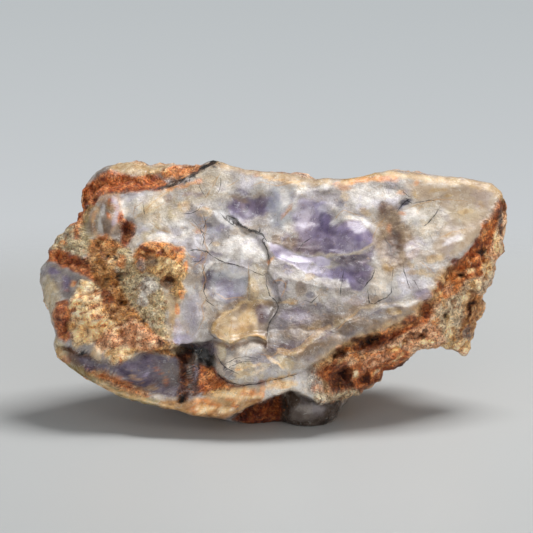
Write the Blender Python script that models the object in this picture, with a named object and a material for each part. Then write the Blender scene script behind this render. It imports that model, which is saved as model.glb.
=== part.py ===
"""Rough opal: a broken nodule of milky and violet opal with a rusty crust, one solid piece of stone.

Sizes are millimetres until the mesh is made. The stone is laid out on its broken face: u runs to the
right, v up the face and w into the stone, and this face frame leans back by LEAN. On the floor, x is u,
y points away behind the face and z is up. The origin is the middle of the flat spot that the stone
rests on.
"""
import math

import bmesh
import bpy
import numpy as np

MM = 0.001

# Driving sizes
LEAN = math.radians(12.0)        # the face frame leans back from upright
REST_SPOT = (2.5, 23.6)          # u and y of the middle of the flat spot
FACE_START = -12.0               # w of the broken face at its foot
FACE_SLOPE = 0.12                # how fast the face falls back at its foot
FACE_LEAN = 0.0042               # and how much faster going up
FACE_CROWN = 0.0024              # how much it is arched from side to side
RIM_DEPTH = 3.0                  # the rim keeps the outline this far behind the face
SIDE_TAPER = 0.16                # then the sides draw in
CORE_DEPTH = (2.0, 24.0)         # and pass over to the smaller outline of the back
CELLS = (42, 20, 24)             # facets along u, w and v

# Where the surface is cast from: points of a short level line inside the stone
SPINE_MIDDLE = (1.0, 19.0, 30.0)   # u, w, v
SPINE_HALF = 25.0
FRONT_CROWDING = 0.30              # more facets on the face than on the back
CROWD_REACH = 3.2                  # facets this near a broken edge are drawn towards it
CROWD_LEFT = 0.25                  # the share of their distance that the nearest keep

# The rim of the face, anticlockwise from the top left (u, v)
RIM = (
    (-38.6, 62.4), (-41.2, 60.5), (-44.7, 56), (-45, 51.8), (-48, 46.1), (-52, 42.1), (-52, 39.8),
    (-53.7, 37.4), (-53.9, 34.4), (-52.5, 28.9), (-50.6, 22.1), (-50.8, 19.8), (-49.9, 16.7),
    (-43.5, 12), (-35.3, 7.8), (-28.2, 5.6), (-21.2, 4.2), (-16, 2.9), (-10.8, 2.4), (-7.5, 3.8),
    (-4.9, 5.4), (0.5, 7.3), (4.7, 9.1), (9.9, 7.1), (13.2, 6.1), (15.5, 7.2), (20.5, 8.2),
    (27.1, 12.6), (31.1, 15.1), (33.2, 17.9), (35.3, 18.9), (39.8, 19.4), (43.8, 17.7), (46.1, 17.4),
    (47.1, 18.6), (48.5, 23.5), (50.4, 29.2), (50.1, 31.1), (52.2, 35.3), (53.2, 40.2), (55.1, 41.7),
    (55.8, 48.2), (56.2, 52.2), (55.5, 55.3), (52.2, 57.3), (46.6, 58.7), (38.8, 59.4), (32.5, 60.5),
    (28.2, 60.7), (23.3, 59.5), (18.4, 58.7), (9.6, 58.5), (3.8, 59.8), (-5.9, 60.6), (-11.3, 62.1),
    (-13.2, 63), (-14.8, 62.7), (-16.5, 61.7), (-21.9, 62), (-28.9, 61.9), (-33.9, 62.6),
)
RIM_SWELL = 0.3                  # the rounding of the rim takes this much off again
RIM_ROUNDING = 2.6

# The smaller outline of the back of the stone
BACK_OUTLINE = (
    (-35.8, 57.2), (-44.7, 41.9), (-43.8, 25.4), (-32.9, 14.8), (-9.4, 9.4), (14.1, 10.1), (30.6, 20.7),
    (45.2, 30.1), (50.4, 50.1), (32.9, 55.5), (-4.7, 56),
)

# Flat breaks round the back: outward direction (u, w, v) and distance from the spine's middle
BREAKS = (
    ((0.06, 1.00, -0.05), 24.0),
    ((-0.62, 0.76, 0.12), 35.0),
    ((0.62, 0.76, 0.18), 38.0),
    ((0.02, 0.62, 0.78), 30.0),
    ((-0.45, 0.45, 0.77), 45.0),
    ((-0.06, 0.64, -0.77), 27.0),
    ((-0.66, 0.42, -0.62), 40.0),
    ((0.70, 0.35, -0.62), 42.0),
    ((0.45, 0.62, -0.64), 36.0),
)
BREAK_ROUNDING = 3.0

# Nodules of the underside, cut flat by the floor: middle and half sizes (u, y, z)
NODULES = (
    ((9.0, 12.8, 4.6), (8.2, 12.9, 8.4)),
    ((-4.5, 14.6, 4.6), (10.0, 11.0, 9.0)),
    ((-1.0, 29.0, 7.5), (13.0, 15.0, 13.0)),
    ((8.0, 30.0, 7.0), (11.0, 16.0, 13.0)),
)
NODULE_JOIN = (3.0, 9.0)         # rounding of the join, in front and at the back

# The crease in front of the rear shoulder, and the line where the face ends in the crust
CREASE = (
    (-45.2, 48.5), (-43.8, 51.1), (-42.4, 52.5), (-40.7, 53.9), (-39.3, 55.2), (-37.2, 55.5),
    (-34.8, 55.4), (-32.5, 55.9), (-29.4, 56), (-26.4, 56.2), (-23.5, 56.7), (-21.2, 58.1),
    (-18.4, 59.3), (-15.5, 60.7), (-13.4, 62.4), (-11.3, 65),
)
SHOULDER_STEP = 2.7
CREASE_DEPTH = 2.3
CRUST_LINE = (
    (61.2, 65.4), (56, 56), (53.4, 50.8), (49.4, 45.7), (45.4, 40), (40.9, 36.2), (37.7, 30.8),
    (32.7, 26.4), (27.8, 23.5), (20, 21.4), (14.6, 17.9), (10.4, 14.4), (9.2, 10.1), (11.3, 6.1),
    (14.1, -0.5),
)
RIND_FALL = (1.25, 0.80)         # how steeply the rind falls away, above and below

# Lumps and pits on the face: middle u, v, half sizes, turn in degrees, height
LUMPS = (
    (-37.7, 49.9, 4, 7.5, 6, 2.4),      # left lobe
    (-29.2, 51.1, 5.6, 6.1, 0, 2.0),      # right lobe
    (-41.9, 48.5, 2.1, 4.2, 8, 1.2),        # side lobe
    (-33.4, 46.6, 1.9, 5.2, -8, -2.6),     # gap between the lobes
    (-39.1, 39.1, 4.2, 6.1, 20, 1.2),     # rubble
    (-25.7, 40.5, 7.8, 5.6, -10, 4.2),    # knob
    (-33.4, 39.1, 1.9, 3.3, 0, 1.6),       # small nodule beside it
    (-24, 35.1, 3.1, 2.4, 0, -3.2),     # cavity under the knob
    (-50.6, 33.9, 3.8, 5.6, 0, 2.0),       # end nub
    (-49.2, 26.1, 2.6, 4.2, 8, 1.8),       # brown lump
    (-42.8, 27.3, 6.4, 8.5, -12, 3.6),     # cream mound
    (-35.3, 23.1, 7.1, 5.2, -20, 1.4),    # rubble under it
    (-28.2, 21.2, 6.1, 3.8, -20, 1.6),
    (-33.7, 31.1, 4.2, 6.1, 30, -2.2),    # hollow beside the mound
    (-40.5, 18.1, 1.6, 2.8, 25, 2.2),       # curled nub
    (-45.9, 39.1, 6.1, 1.4, -22, -2.0),     # slit at the left end
    (-1.9, 16.5, 12.2, 6.4, 6, 1.4),      # belly of the shell flake
    (20.2, 45, 6.1, 5.2, 8, 1.9),      # dome in the violet hollow
    (8, 46.1, 4.7, 3.8, 10, 1.0),
    (7.1, 23.1, 8, 4.7, 5, 1.2),
    (22.6, 20.5, 8, 3.1, 14, -4.2),    # brown cavity in the crust
    (16, 16.9, 3.8, 2.8, 20, -3.0),
    (24.5, 15.5, 6.1, 3.1, 28, 1.8),
    (16.5, 11.3, 3.3, 4.2, -30, -2.2),
    (45.2, 36.2, 2.1, 1.4, 20, -2.4),
    (37.7, 20.2, 6.1, 2.4, 0, -1.6),
    (47.1, 23.1, 3.3, 6.1, -10, 1.6),
)

# Shallow scoops with a clear edge: middle u, v, half sizes, turn in degrees, depth
SCOOPS = (
    (-5.4, 51.8, 8, 4.7, 4, 1.8),
    (8.5, 46.1, 9.4, 7.1, 8, 2.8),
    (11.3, 37.7, 12.7, 4.2, -10, 1.7),
    (-10.4, 33.9, 5.2, 4, -6, 1.6),
    (7.1, 30.1, 7.1, 4.7, 15, 1.0),
    (37.2, 48.5, 14.6, 7.1, 18, 1.3),
    (24, 30.1, 9.4, 5.2, 10, 1.0),
    (27.8, 45.2, 4.2, 7.1, 20, 1.4),
    (-28.2, 12.7, 7.1, 4.7, -18, 1.2),
)

# Broken edges on the face: the overhang, the dark hollow, two flakes and the raised lower lip
OVERHANG = (
    (-50.8, 20.2), (-48, 18.8), (-45.2, 17.9), (-42.4, 17.7), (-39.1, 15.5), (-35.8, 15.5), (-33.4, 16),
    (-30.6, 17.2), (-28.2, 17.9), (-24.7, 18.4), (-21.2, 19.3), (-17.9, 20),
)
HOLLOW = (
    (-22.1, 18.4), (-20.2, 19.3), (-18.1, 19.9), (-15.3, 20.5), (-13.2, 21.1), (-13.4, 18.4),
    (-12.9, 16), (-13.4, 14.4), (-15.3, 14.6), (-17.9, 15.5), (-20.7, 15.5),
)
SHELL_FLAKE = (
    (-13.2, 21.2), (-13.4, 18.4), (-12.9, 16), (-13.4, 14.4), (-12.2, 12.7), (-10.4, 11.3),
    (-9.2, 10.8), (-7.1, 10.5), (-4.7, 10.5), (-1.9, 10.9), (1.2, 11.8), (4, 12.5), (7.1, 13.4),
    (11.3, 15.5), (16, 18.4), (17.7, 21.2), (12.9, 22.6), (7.1, 23.5), (0, 23.1), (-7.1, 21.9),
)
HOOD_FLAKE = (
    (-14.1, 22.8), (-13.2, 24.9), (-10.8, 27.1), (-7.5, 28.7), (-5.2, 30.1), (-1.9, 30.8), (1.4, 30.1),
    (2.1, 28.7), (1.4, 27.1), (0, 24.9), (-0.5, 22.4), (-0.7, 20), (-1.4, 20.9), (-2.8, 21.5),
    (-4.7, 21.4), (-7.1, 20.7), (-9.2, 19.7), (-11.8, 21.2),
)
LOWER_LIP = (
    (-51.3, 21.2), (-50.1, 17.9), (-48, 15.1), (-43.3, 11.8), (-35.3, 7.5), (-28.2, 5.6), (-21.2, 4.2),
    (-15.3, 3.1), (-8.9, 2.6),
)


def smoothstep(low, high, x):
    """0 below low, 1 above high and an S-curve between."""
    t = np.clip((x - low) / (high - low), 0, 1)
    return t * t * (3 - 2 * t)


def soft_ramp(x, r):
    """0 below -r, x above r and a parabola between."""
    return np.where(x > r, x, np.where(x < -r, 0, (x + r) ** 2 / (4 * r)))


def soft_max(a, b, r):
    """The larger of two fields, rounded where they differ by less than r."""
    h = np.maximum(r - np.abs(a - b), 0) / r
    return np.maximum(a, b) + h * h * r / 4


def nearest(u, v, path):
    """From the nearest point of a path: the offset du, dv, +1 or -1 for the path's left or right side,
    and the share of the path's length that lies before that point."""
    best = np.full(u.shape, 1e9)
    found = np.zeros((4,) + u.shape)
    run = 0.0
    for start, end in zip(path[:-1], path[1:]):
        edge_u, edge_v = end[0] - start[0], end[1] - start[1]
        length = math.hypot(edge_u, edge_v)
        t = np.clip(((u - start[0]) * edge_u + (v - start[1]) * edge_v) / length ** 2, 0, 1)
        du, dv = u - start[0] - t * edge_u, v - start[1] - t * edge_v
        side = np.where(edge_u * dv - edge_v * du >= 0, 1.0, -1.0)
        near = np.hypot(du, dv) < best - 1e-9
        found = np.where(near, (du, dv, side, run + t * length), found)
        best = np.hypot(found[0], found[1])
        run += length
    return found[0], found[1], found[2], found[3] / run


def across(u, v, path):
    """Distance from a path, positive on its left, and the share of its length reached there."""
    du, dv, side, along = nearest(u, v, path)
    return np.hypot(du, dv) * side, along


def crowd(u, v, path):
    """Points drawn sideways towards a path, most of all the nearest, so that facets follow it."""
    du, dv = nearest(u, v, path)[:2]
    drawn = (1 - CROWD_LEFT) * (1 - smoothstep(0, CROWD_REACH, np.hypot(du, dv)))
    return u - du * drawn, v - dv * drawn


def outside(u, v, outline):
    """Distance to a closed outline, negative inside it."""
    inside = np.zeros(u.shape, bool)
    for (u0, v0), (u1, v1) in zip(outline, outline[1:] + outline[:1]):
        inside ^= ((v1 > v) != (v0 > v)) & (u < (u0 - u1) * (v - v1) / (v0 - v1 + 1e-12) + u1)
    distance = np.abs(across(u, v, outline + outline[:1])[0])
    return np.where(inside, -distance, distance)


def lean_to_floor(u, w, v):
    """x, y, z of face coordinates: the frame leans back by LEAN about the x axis."""
    return u, w * math.cos(LEAN) + v * math.sin(LEAN), v * math.cos(LEAN) - w * math.sin(LEAN)


def face(u, v):
    """w of the broken face: a leaning arch, stepped back at the shoulder, falling away past the crust."""
    w = FACE_START + (FACE_SLOPE + FACE_LEAN * v) * v + FACE_CROWN * u * u
    w = w + 0.4 * soft_ramp(-42.0 - u, 6.0)
    past, along = across(u, v, CREASE)
    w = w + SHOULDER_STEP * smoothstep(-0.5, 1.9, past) * smoothstep(0.0, 0.12, along)
    past, along = across(u, v, CRUST_LINE)
    fall = RIND_FALL[0] + (RIND_FALL[1] - RIND_FALL[0]) * smoothstep(0.55, 0.8, along)
    return w + fall * soft_ramp(past, 1.2)


def stone(u, w, v):
    """Negative inside the stone: the face in front, walls of the rim's outline drawing in towards the
    back, flat breaks round the back, and nodules underneath, all cut by the floor."""
    front = face(u, v)
    behind = w - front - RIM_DEPTH
    wall = (outside(u, v, RIM) - RIM_SWELL) * (1 - smoothstep(*CORE_DEPTH, behind))
    wall = wall + outside(u, v, BACK_OUTLINE) * smoothstep(*CORE_DEPTH, behind)
    wall = wall + SIDE_TAPER * soft_ramp(behind, 4.0)
    shoulder = smoothstep(-15.0, -30.0, u) * smoothstep(44.0, 54.0, v)
    body = soft_max(front - w, wall, RIM_ROUNDING + 3.0 * shoulder)
    for direction, distance in BREAKS:
        n = np.array(direction) / np.linalg.norm(direction)
        reach = (u - SPINE_MIDDLE[0]) * n[0] + (w - SPINE_MIDDLE[1]) * n[1] + (v - SPINE_MIDDLE[2]) * n[2]
        body = soft_max(body, reach - distance, BREAK_ROUNDING)
    x, y, z = lean_to_floor(u, w, v)
    join = NODULE_JOIN[0] + (NODULE_JOIN[1] - NODULE_JOIN[0]) * smoothstep(14.0, 30.0, y)
    for middle, half in NODULES:
        ratio = np.sqrt(sum(((a - m) / h) ** 2 for a, m, h in zip((x, y, z), middle, half)))
        body = -soft_max(-body, -(ratio - 1) * min(half), join)
    return np.maximum(body, -z)


def box_lattice(cells):
    """Directions (u, w, v) to the surface points of a box of cells, evenly spread, and its outward quads."""
    points, quads = [], []
    for axis in range(3):
        first, second = (axis + 1) % 3, (axis + 2) % 3
        i, j = np.meshgrid(np.arange(cells[first] + 1), np.arange(cells[second] + 1), indexing="ij")
        for end in (0, 1):
            place = np.zeros(i.shape + (3,), int)
            place[..., first], place[..., second], place[..., axis] = i, j, end * cells[axis]
            key = (place[..., 0] * (cells[1] + 1) + place[..., 1]) * (cells[2] + 1) + place[..., 2]
            quad = np.stack([key[:-1, :-1], key[1:, :-1], key[1:, 1:], key[:-1, 1:]], -1).reshape(-1, 4)
            quads.append(quad if end else quad[:, ::-1])
            points.append(np.column_stack([key.ravel(), place.reshape(-1, 3)]))
    points = np.concatenate(points)
    keys, first_seen = np.unique(points[:, 0], return_index=True)
    directions = np.tan((points[first_seen, 1:] / np.array(cells) * 2 - 1) * math.pi / 4)
    directions /= np.linalg.norm(directions, axis=1)[:, None]
    return directions, np.searchsorted(keys, np.concatenate(quads))


def cast(directions, steps=24):
    """The stone's surface along each direction: the angle from the front is drawn in by a share of its
    sine, and the distance from the spine is halved down to the surface."""
    angle = np.arccos(np.clip(-directions[:, 1], -1, 1))
    drawn = angle - FRONT_CROWDING * np.sin(angle)
    spread = np.sin(drawn) / np.maximum(np.sin(angle), 1e-9)
    ray = np.column_stack([directions[:, 0] * spread, -np.cos(drawn), directions[:, 2] * spread])
    start = np.array(SPINE_MIDDLE) + np.outer(ray[:, 0], (SPINE_HALF, 0, 0))
    near, far = np.zeros(len(ray)), np.full(len(ray), 75.0)
    for _ in range(steps):
        middle = (near + far) / 2
        u, w, v = (start + middle[:, None] * ray).T
        beyond = stone(u, w, v) > 0
        far = np.where(beyond, middle, far)
        near = np.where(beyond, near, middle)
    return start + near[:, None] * ray


def scramble(i, j, k, seed):
    """A fixed jumble of bits for each lattice point."""
    h = (i.astype(np.uint32) * np.uint32(374761393) + j.astype(np.uint32) * np.uint32(668265263)
         + k.astype(np.uint32) * np.uint32(2246822519) + np.uint32(seed * 3266489917 % 2 ** 32))
    h = (h ^ (h >> np.uint32(13))) * np.uint32(1274126177)
    return h ^ (h >> np.uint32(16))


def noise(points, seed):
    """Smooth lattice noise, about -1 to 1: slopes at the lattice points, blended by a quintic S-curve."""
    corner = np.floor(points).astype(np.int64)
    f = points - corner
    s = f * f * f * (f * (f * 6 - 15) + 10)
    total = np.zeros(len(points))
    for bits in range(8):
        o = np.array([bits & 1, bits >> 1 & 1, bits >> 2 & 1])
        h = scramble(*(corner + o).T, seed)
        slope = np.column_stack([(h >> np.uint32(n) & np.uint32(255)) / 127.5 - 1 for n in (0, 8, 16)])
        total += np.prod(np.where(o, s, 1 - s), axis=1) * np.einsum("ij,ij->i", slope, f - o)
    return total


def layered(points, size, octaves, seed):
    """Noise of the given size plus ever finer layers of half the strength."""
    return sum(noise(points / size * 2 ** n + 17.3 * n, seed + n) / 2 ** n for n in range(octaves))


def scoops(points, size, seed):
    """Shell-shaped breaks that meet in sharp ridges: the squared distance to the nearest scattered point."""
    q = points / size
    cell = np.floor(q).astype(np.int64)
    best = np.full(len(q), 9.0)
    for step in np.ndindex(3, 3, 3):
        at = cell + np.array(step) - 1
        h = scramble(*at.T, seed)
        scatter = np.column_stack([(h >> np.uint32(n) & np.uint32(1023)) / 1023.0 for n in (0, 10, 20)])
        best = np.minimum(best, ((at + scatter - q) ** 2).sum(1))
    return best * 1.6 - 0.5


def oval(u, v, middle_u, middle_v, half_u, half_v, turn):
    """Distance from the middle of a turned oval, 1 on its edge."""
    c, s = math.cos(math.radians(turn)), math.sin(math.radians(turn))
    du, dv = u - middle_u, v - middle_v
    return np.hypot((du * c + dv * s) / half_u, (dv * c - du * s) / half_v)


def relief(u, v):
    """How far the forms of the face stand out: lumps and pits, scoops, and the steps at broken edges."""
    height = np.zeros(u.shape)
    for *shape, high in LUMPS:
        height += high * np.clip(1 - oval(u, v, *shape) ** 2, 0, 1) ** 2
    for *shape, deep in SCOOPS:
        height -= deep * np.clip(1 - oval(u, v, *shape) ** 2, 0, 1)
    past, along = across(u, v, CREASE)
    valley = smoothstep(-0.4, 1.4, past) * smoothstep(5.0, 2.2, past)
    height -= CREASE_DEPTH * valley * smoothstep(0, 0.12, along)
    past, along = across(u, v, OVERHANG)
    ends = smoothstep(0, 0.06, along) * smoothstep(1, 0.9, along)
    height -= 3.4 * smoothstep(0.3, -0.7, past) * smoothstep(-12.0, -6.0, past) * ends
    height += 1.2 * np.exp(-(across(u, v, LOWER_LIP)[0] / 2.6) ** 2)
    height -= 4.6 * smoothstep(0.4, -2.2, outside(u, v, HOLLOW))
    height += 2.5 * smoothstep(0.25, -0.35, outside(u, v, SHELL_FLAKE)) * smoothstep(24.5, 19.5, v)
    height += 2.2 * smoothstep(0.2, -0.3, outside(u, v, HOOD_FLAKE)) * smoothstep(31.0, 21.0, v)
    past, along = across(u, v, CRUST_LINE)
    dip = np.exp(-((past - 1.4) / 1.3) ** 2)
    return height - 1.5 * dip * smoothstep(0.02, 0.1, along) * smoothstep(0.9, 0.8, along)


def outward(points, quads):
    """The outward direction at each point, from the quads round it."""
    a, b, c, d = (points[quads[:, i]] for i in range(4))
    across = np.cross(c - a, d - b)
    total = np.zeros_like(points)
    for corner in quads.T:
        for axis in range(3):
            total[:, axis] += np.bincount(corner, across[:, axis], len(points))
    return total / np.linalg.norm(total, axis=1)[:, None]


def rough_surface(cells):
    """Points (u, w, v) and quads of the stone: the cast form, the relief pushed out of the face, then
    scoops and lumps along the outward direction, strongest behind. The flat spot is left as it is."""
    directions, quads = box_lattice(cells)
    points = cast(directions)
    plain = points.copy()
    u, w, v = plain.T
    lift = smoothstep(0.2, 3.0, lean_to_floor(u, w, v)[2])
    below_ledge = smoothstep(12, 8, v) * smoothstep(-1, 2, w)
    below_ledge = below_ledge * smoothstep(-20, -17, u) * smoothstep(24, 20, u)
    facing = smoothstep(0.15, 0.55, -outward(points, quads)[:, 1]) * lift * (1 - below_ledge)
    aim_u, aim_v = u, v
    for path in (OVERHANG, HOLLOW + HOLLOW[:1], SHELL_FLAKE + SHELL_FLAKE[:1], HOOD_FLAKE + HOOD_FLAKE[:1]):
        aim_u, aim_v = crowd(aim_u, aim_v, path)
    aim_u, aim_v = u + (aim_u - u) * facing, v + (aim_v - v) * facing
    aim_w = w + (face(aim_u, aim_v) - face(u, v)) * facing
    points = np.column_stack([aim_u, aim_w - relief(aim_u, aim_v) * facing, aim_v])

    away = outward(points, quads)
    back = smoothstep(-0.3, 0.3, away[:, 1])
    warp = np.column_stack([layered(plain, 8.0, 2, seed) for seed in (21, 22, 23)])
    depth = back * (2.6 * scoops(plain + 3.0 * warp, 16.0, 4) + 1.2 * layered(plain, 14.0, 3, 31))
    depth += (0.45 + 0.55 * back) * 0.8 * scoops(plain + 1.5 * warp, 6.5, 6)
    points += away * (depth * lift)[:, None]
    return points, quads


def add_stone(name):
    """The stone's object, standing on z = 0 with the middle of its flat spot at the origin."""
    points, quads = rough_surface(CELLS)
    x, y, z = lean_to_floor(*points.T)
    x, y = x - REST_SPOT[0], y - REST_SPOT[1]
    mesh = bpy.data.meshes.new(name)
    mesh.from_pydata((np.column_stack([x, y, np.maximum(z, 0)]) * MM).tolist(), [], quads.tolist())
    shape = bmesh.new()
    shape.from_mesh(mesh)
    bmesh.ops.triangulate(shape, faces=shape.faces, quad_method="SHORT_EDGE")
    bmesh.ops.recalc_face_normals(shape, faces=shape.faces)
    shape.to_mesh(mesh)
    shape.free()
    mesh.shade_smooth()
    mesh.set_sharp_from_angle(angle=math.radians(35))
    stone_object = bpy.data.objects.new(name, mesh)
    bpy.context.scene.collection.objects.link(stone_object)
    return stone_object


def opal_material():
    """Milky opal, smooth where it is broken."""
    material = bpy.data.materials.new("milky_opal")
    material.use_nodes = True
    shader = material.node_tree.nodes["Principled BSDF"]
    shader.inputs["Base Color"].default_value = (0.58, 0.52, 0.50, 1.0)
    shader.inputs["Roughness"].default_value = 0.35
    shader.inputs["Metallic"].default_value = 0.0
    return material


for old in list(bpy.data.objects):
    bpy.data.objects.remove(old, do_unlink=True)
add_stone("rough_opal").data.materials.append(opal_material())
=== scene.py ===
"""Rough opal: a broken nodule of milky and violet opal in a rusty, pitted crust, resting on its
underside. The stone is one piece, so the file has one long section for it, and then the floor, the
lights and the camera. Sizes are millimetres until the mesh is made."""
import math

import bpy
import mathutils
import numpy as np
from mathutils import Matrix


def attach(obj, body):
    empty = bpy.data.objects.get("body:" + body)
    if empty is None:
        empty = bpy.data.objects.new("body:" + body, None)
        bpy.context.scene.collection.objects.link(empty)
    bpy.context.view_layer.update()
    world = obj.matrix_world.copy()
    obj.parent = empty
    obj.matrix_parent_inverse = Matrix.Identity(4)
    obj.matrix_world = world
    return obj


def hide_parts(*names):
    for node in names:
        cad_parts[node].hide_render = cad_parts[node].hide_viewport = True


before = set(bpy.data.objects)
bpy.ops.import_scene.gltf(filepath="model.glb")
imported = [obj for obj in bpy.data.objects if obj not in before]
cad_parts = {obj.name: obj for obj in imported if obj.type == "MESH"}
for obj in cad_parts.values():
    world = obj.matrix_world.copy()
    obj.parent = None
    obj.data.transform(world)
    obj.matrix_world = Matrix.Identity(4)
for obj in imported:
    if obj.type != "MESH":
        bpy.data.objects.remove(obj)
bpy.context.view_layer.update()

# ---------------------------------------------------------------- the stone: its broken form
# One lump of natural opal, about 110 mm long, broken open in front so that the milky and violet inside
# shows, with its rusty crust left on at the sides, underneath and behind.

MM = 0.001
LEAN = math.radians(12.0)        # the face frame leans back from upright
REST_SPOT = (2.5, 23.6)          # u and y of the middle of the flat spot
FACE_START = -12.0               # w of the broken face at its foot
FACE_SLOPE = 0.12                # how fast the face falls back at its foot
FACE_LEAN = 0.0042               # and how much faster going up
FACE_CROWN = 0.0024              # how much it is arched from side to side
RIM_DEPTH = 3.0                  # the rim keeps the outline this far behind the face
SIDE_TAPER = 0.16                # then the sides draw in
CORE_DEPTH = (2.0, 24.0)         # and pass over to the smaller outline of the back
CELLS = (176, 90, 120)           # facets along u, w and v

# Where the surface is cast from: points of a short level line inside the stone
SPINE_MIDDLE = (1.0, 19.0, 30.0)   # u, w, v
SPINE_HALF = 40.0
FRONT_CROWDING = 0.38              # more facets on the face than on the back
CROWD_REACH = 1.7                  # facets this near a broken edge are drawn towards it
CROWD_LEFT = 0.22                  # the share of their distance that the nearest keep

# The rim of the face, anticlockwise from the top left (u, v)
RIM = (
    (-38.6, 62.4), (-41.2, 60.5), (-44.7, 56), (-45, 51.8), (-48, 46.1), (-52, 42.1), (-52, 39.8),
    (-53.7, 37.4), (-53.9, 34.4), (-52.5, 28.9), (-50.6, 22.1), (-50.8, 19.8), (-49.9, 16.7),
    (-43.5, 12), (-35.3, 7.8), (-28.2, 5.6), (-21.2, 4.2), (-16, 2.9), (-10.8, 2.4), (-7.5, 3.8),
    (-4.9, 5.4), (0.5, 7.3), (4.7, 9.1), (9.9, 7.1), (13.2, 6.1), (15.5, 7.2), (20.5, 8.2),
    (27.1, 12.6), (31.1, 15.1), (33.2, 17.9), (35.3, 18.9), (39.8, 19.4), (43.8, 17.7), (46.1, 17.4),
    (47.1, 18.6), (48.5, 23.5), (50.4, 29.2), (50.1, 31.1), (52.2, 35.3), (53.2, 40.2), (55.1, 41.7),
    (55.8, 48.2), (56.2, 52.2), (55.5, 55.3), (52.2, 57.3), (46.6, 58.7), (38.8, 59.4), (32.5, 60.5),
    (28.2, 60.7), (23.3, 59.5), (18.4, 58.7), (9.6, 58.5), (3.8, 59.8), (-5.9, 60.6), (-11.3, 62.1),
    (-13.2, 63), (-14.8, 62.7), (-16.5, 61.7), (-21.9, 62), (-28.9, 61.9), (-33.9, 62.6),
)
RIM_SWELL = 0.3                  # the rounding of the rim takes this much off again
RIM_ROUNDING = 2.6

# The far left end of the face falls away past this u, at this slope
LEFT_END, LEFT_END_FALL = -42.0, 0.4

# The smaller outline of the back of the stone
BACK_OUTLINE = (
    (-35.8, 57.2), (-44.7, 41.9), (-43.8, 25.4), (-32.9, 14.8), (-9.4, 9.4), (14.1, 10.1), (30.6, 20.7),
    (45.2, 30.1), (50.4, 50.1), (32.9, 55.5), (-4.7, 56),
)

# Flat breaks round the back: outward direction (u, w, v) and distance from the spine's middle
BREAKS = (
    ((0.06, 1.00, -0.05), 24.0),
    ((-0.62, 0.76, 0.12), 35.0),
    ((0.62, 0.76, 0.18), 38.0),
    ((0.02, 0.62, 0.78), 30.0),
    ((-0.45, 0.45, 0.77), 45.0),
    ((-0.06, 0.64, -0.77), 27.0),
    ((-0.66, 0.42, -0.62), 40.0),
    ((0.70, 0.35, -0.62), 42.0),
    ((0.45, 0.62, -0.64), 36.0),
)
BREAK_ROUNDING = 3.0
SHOULDER_ROUNDING = 3.0          # more rounding of the rim at the rear shoulder
FARTHEST = 75.0                  # no part of the stone is farther from the spine

# Nodules of the underside, cut flat by the floor: middle and half sizes (u, y, z)
NODULES = (
    ((9.0, 12.8, 4.6), (8.2, 12.9, 8.4)),
    ((-4.5, 14.6, 4.6), (10.0, 11.0, 9.0)),
    ((-1.0, 29.0, 7.5), (13.0, 15.0, 13.0)),
    ((8.0, 30.0, 7.0), (11.0, 16.0, 13.0)),
)
NODULE_JOIN = (3.0, 9.0)         # rounding of the join, in front and at the back

# The crease in front of the rear shoulder, and the line where the face ends in the crust
CREASE = (
    (-45.2, 48.5), (-43.8, 51.1), (-42.4, 52.5), (-40.7, 53.9), (-39.3, 55.2), (-37.2, 55.5),
    (-34.8, 55.4), (-32.5, 55.9), (-29.4, 56), (-26.4, 56.2), (-23.5, 56.7), (-21.2, 58.1),
    (-18.4, 59.3), (-15.5, 60.7), (-13.4, 62.4), (-11.3, 65),
)
SHOULDER_STEP = 2.7
CREASE_DEPTH = 2.3
CRUST_LINE = (
    (61.2, 65.4), (56, 56), (53.4, 50.8), (49.4, 45.7), (45.4, 40), (40.9, 36.2), (37.7, 30.8),
    (32.7, 26.4), (27.8, 23.5), (20, 21.4), (14.6, 17.9), (10.4, 14.4), (9.2, 10.1), (11.3, 6.1),
    (14.1, -0.5),
)
RIND_FALL = (1.25, 0.80)         # how steeply the rind falls away, above and below

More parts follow.
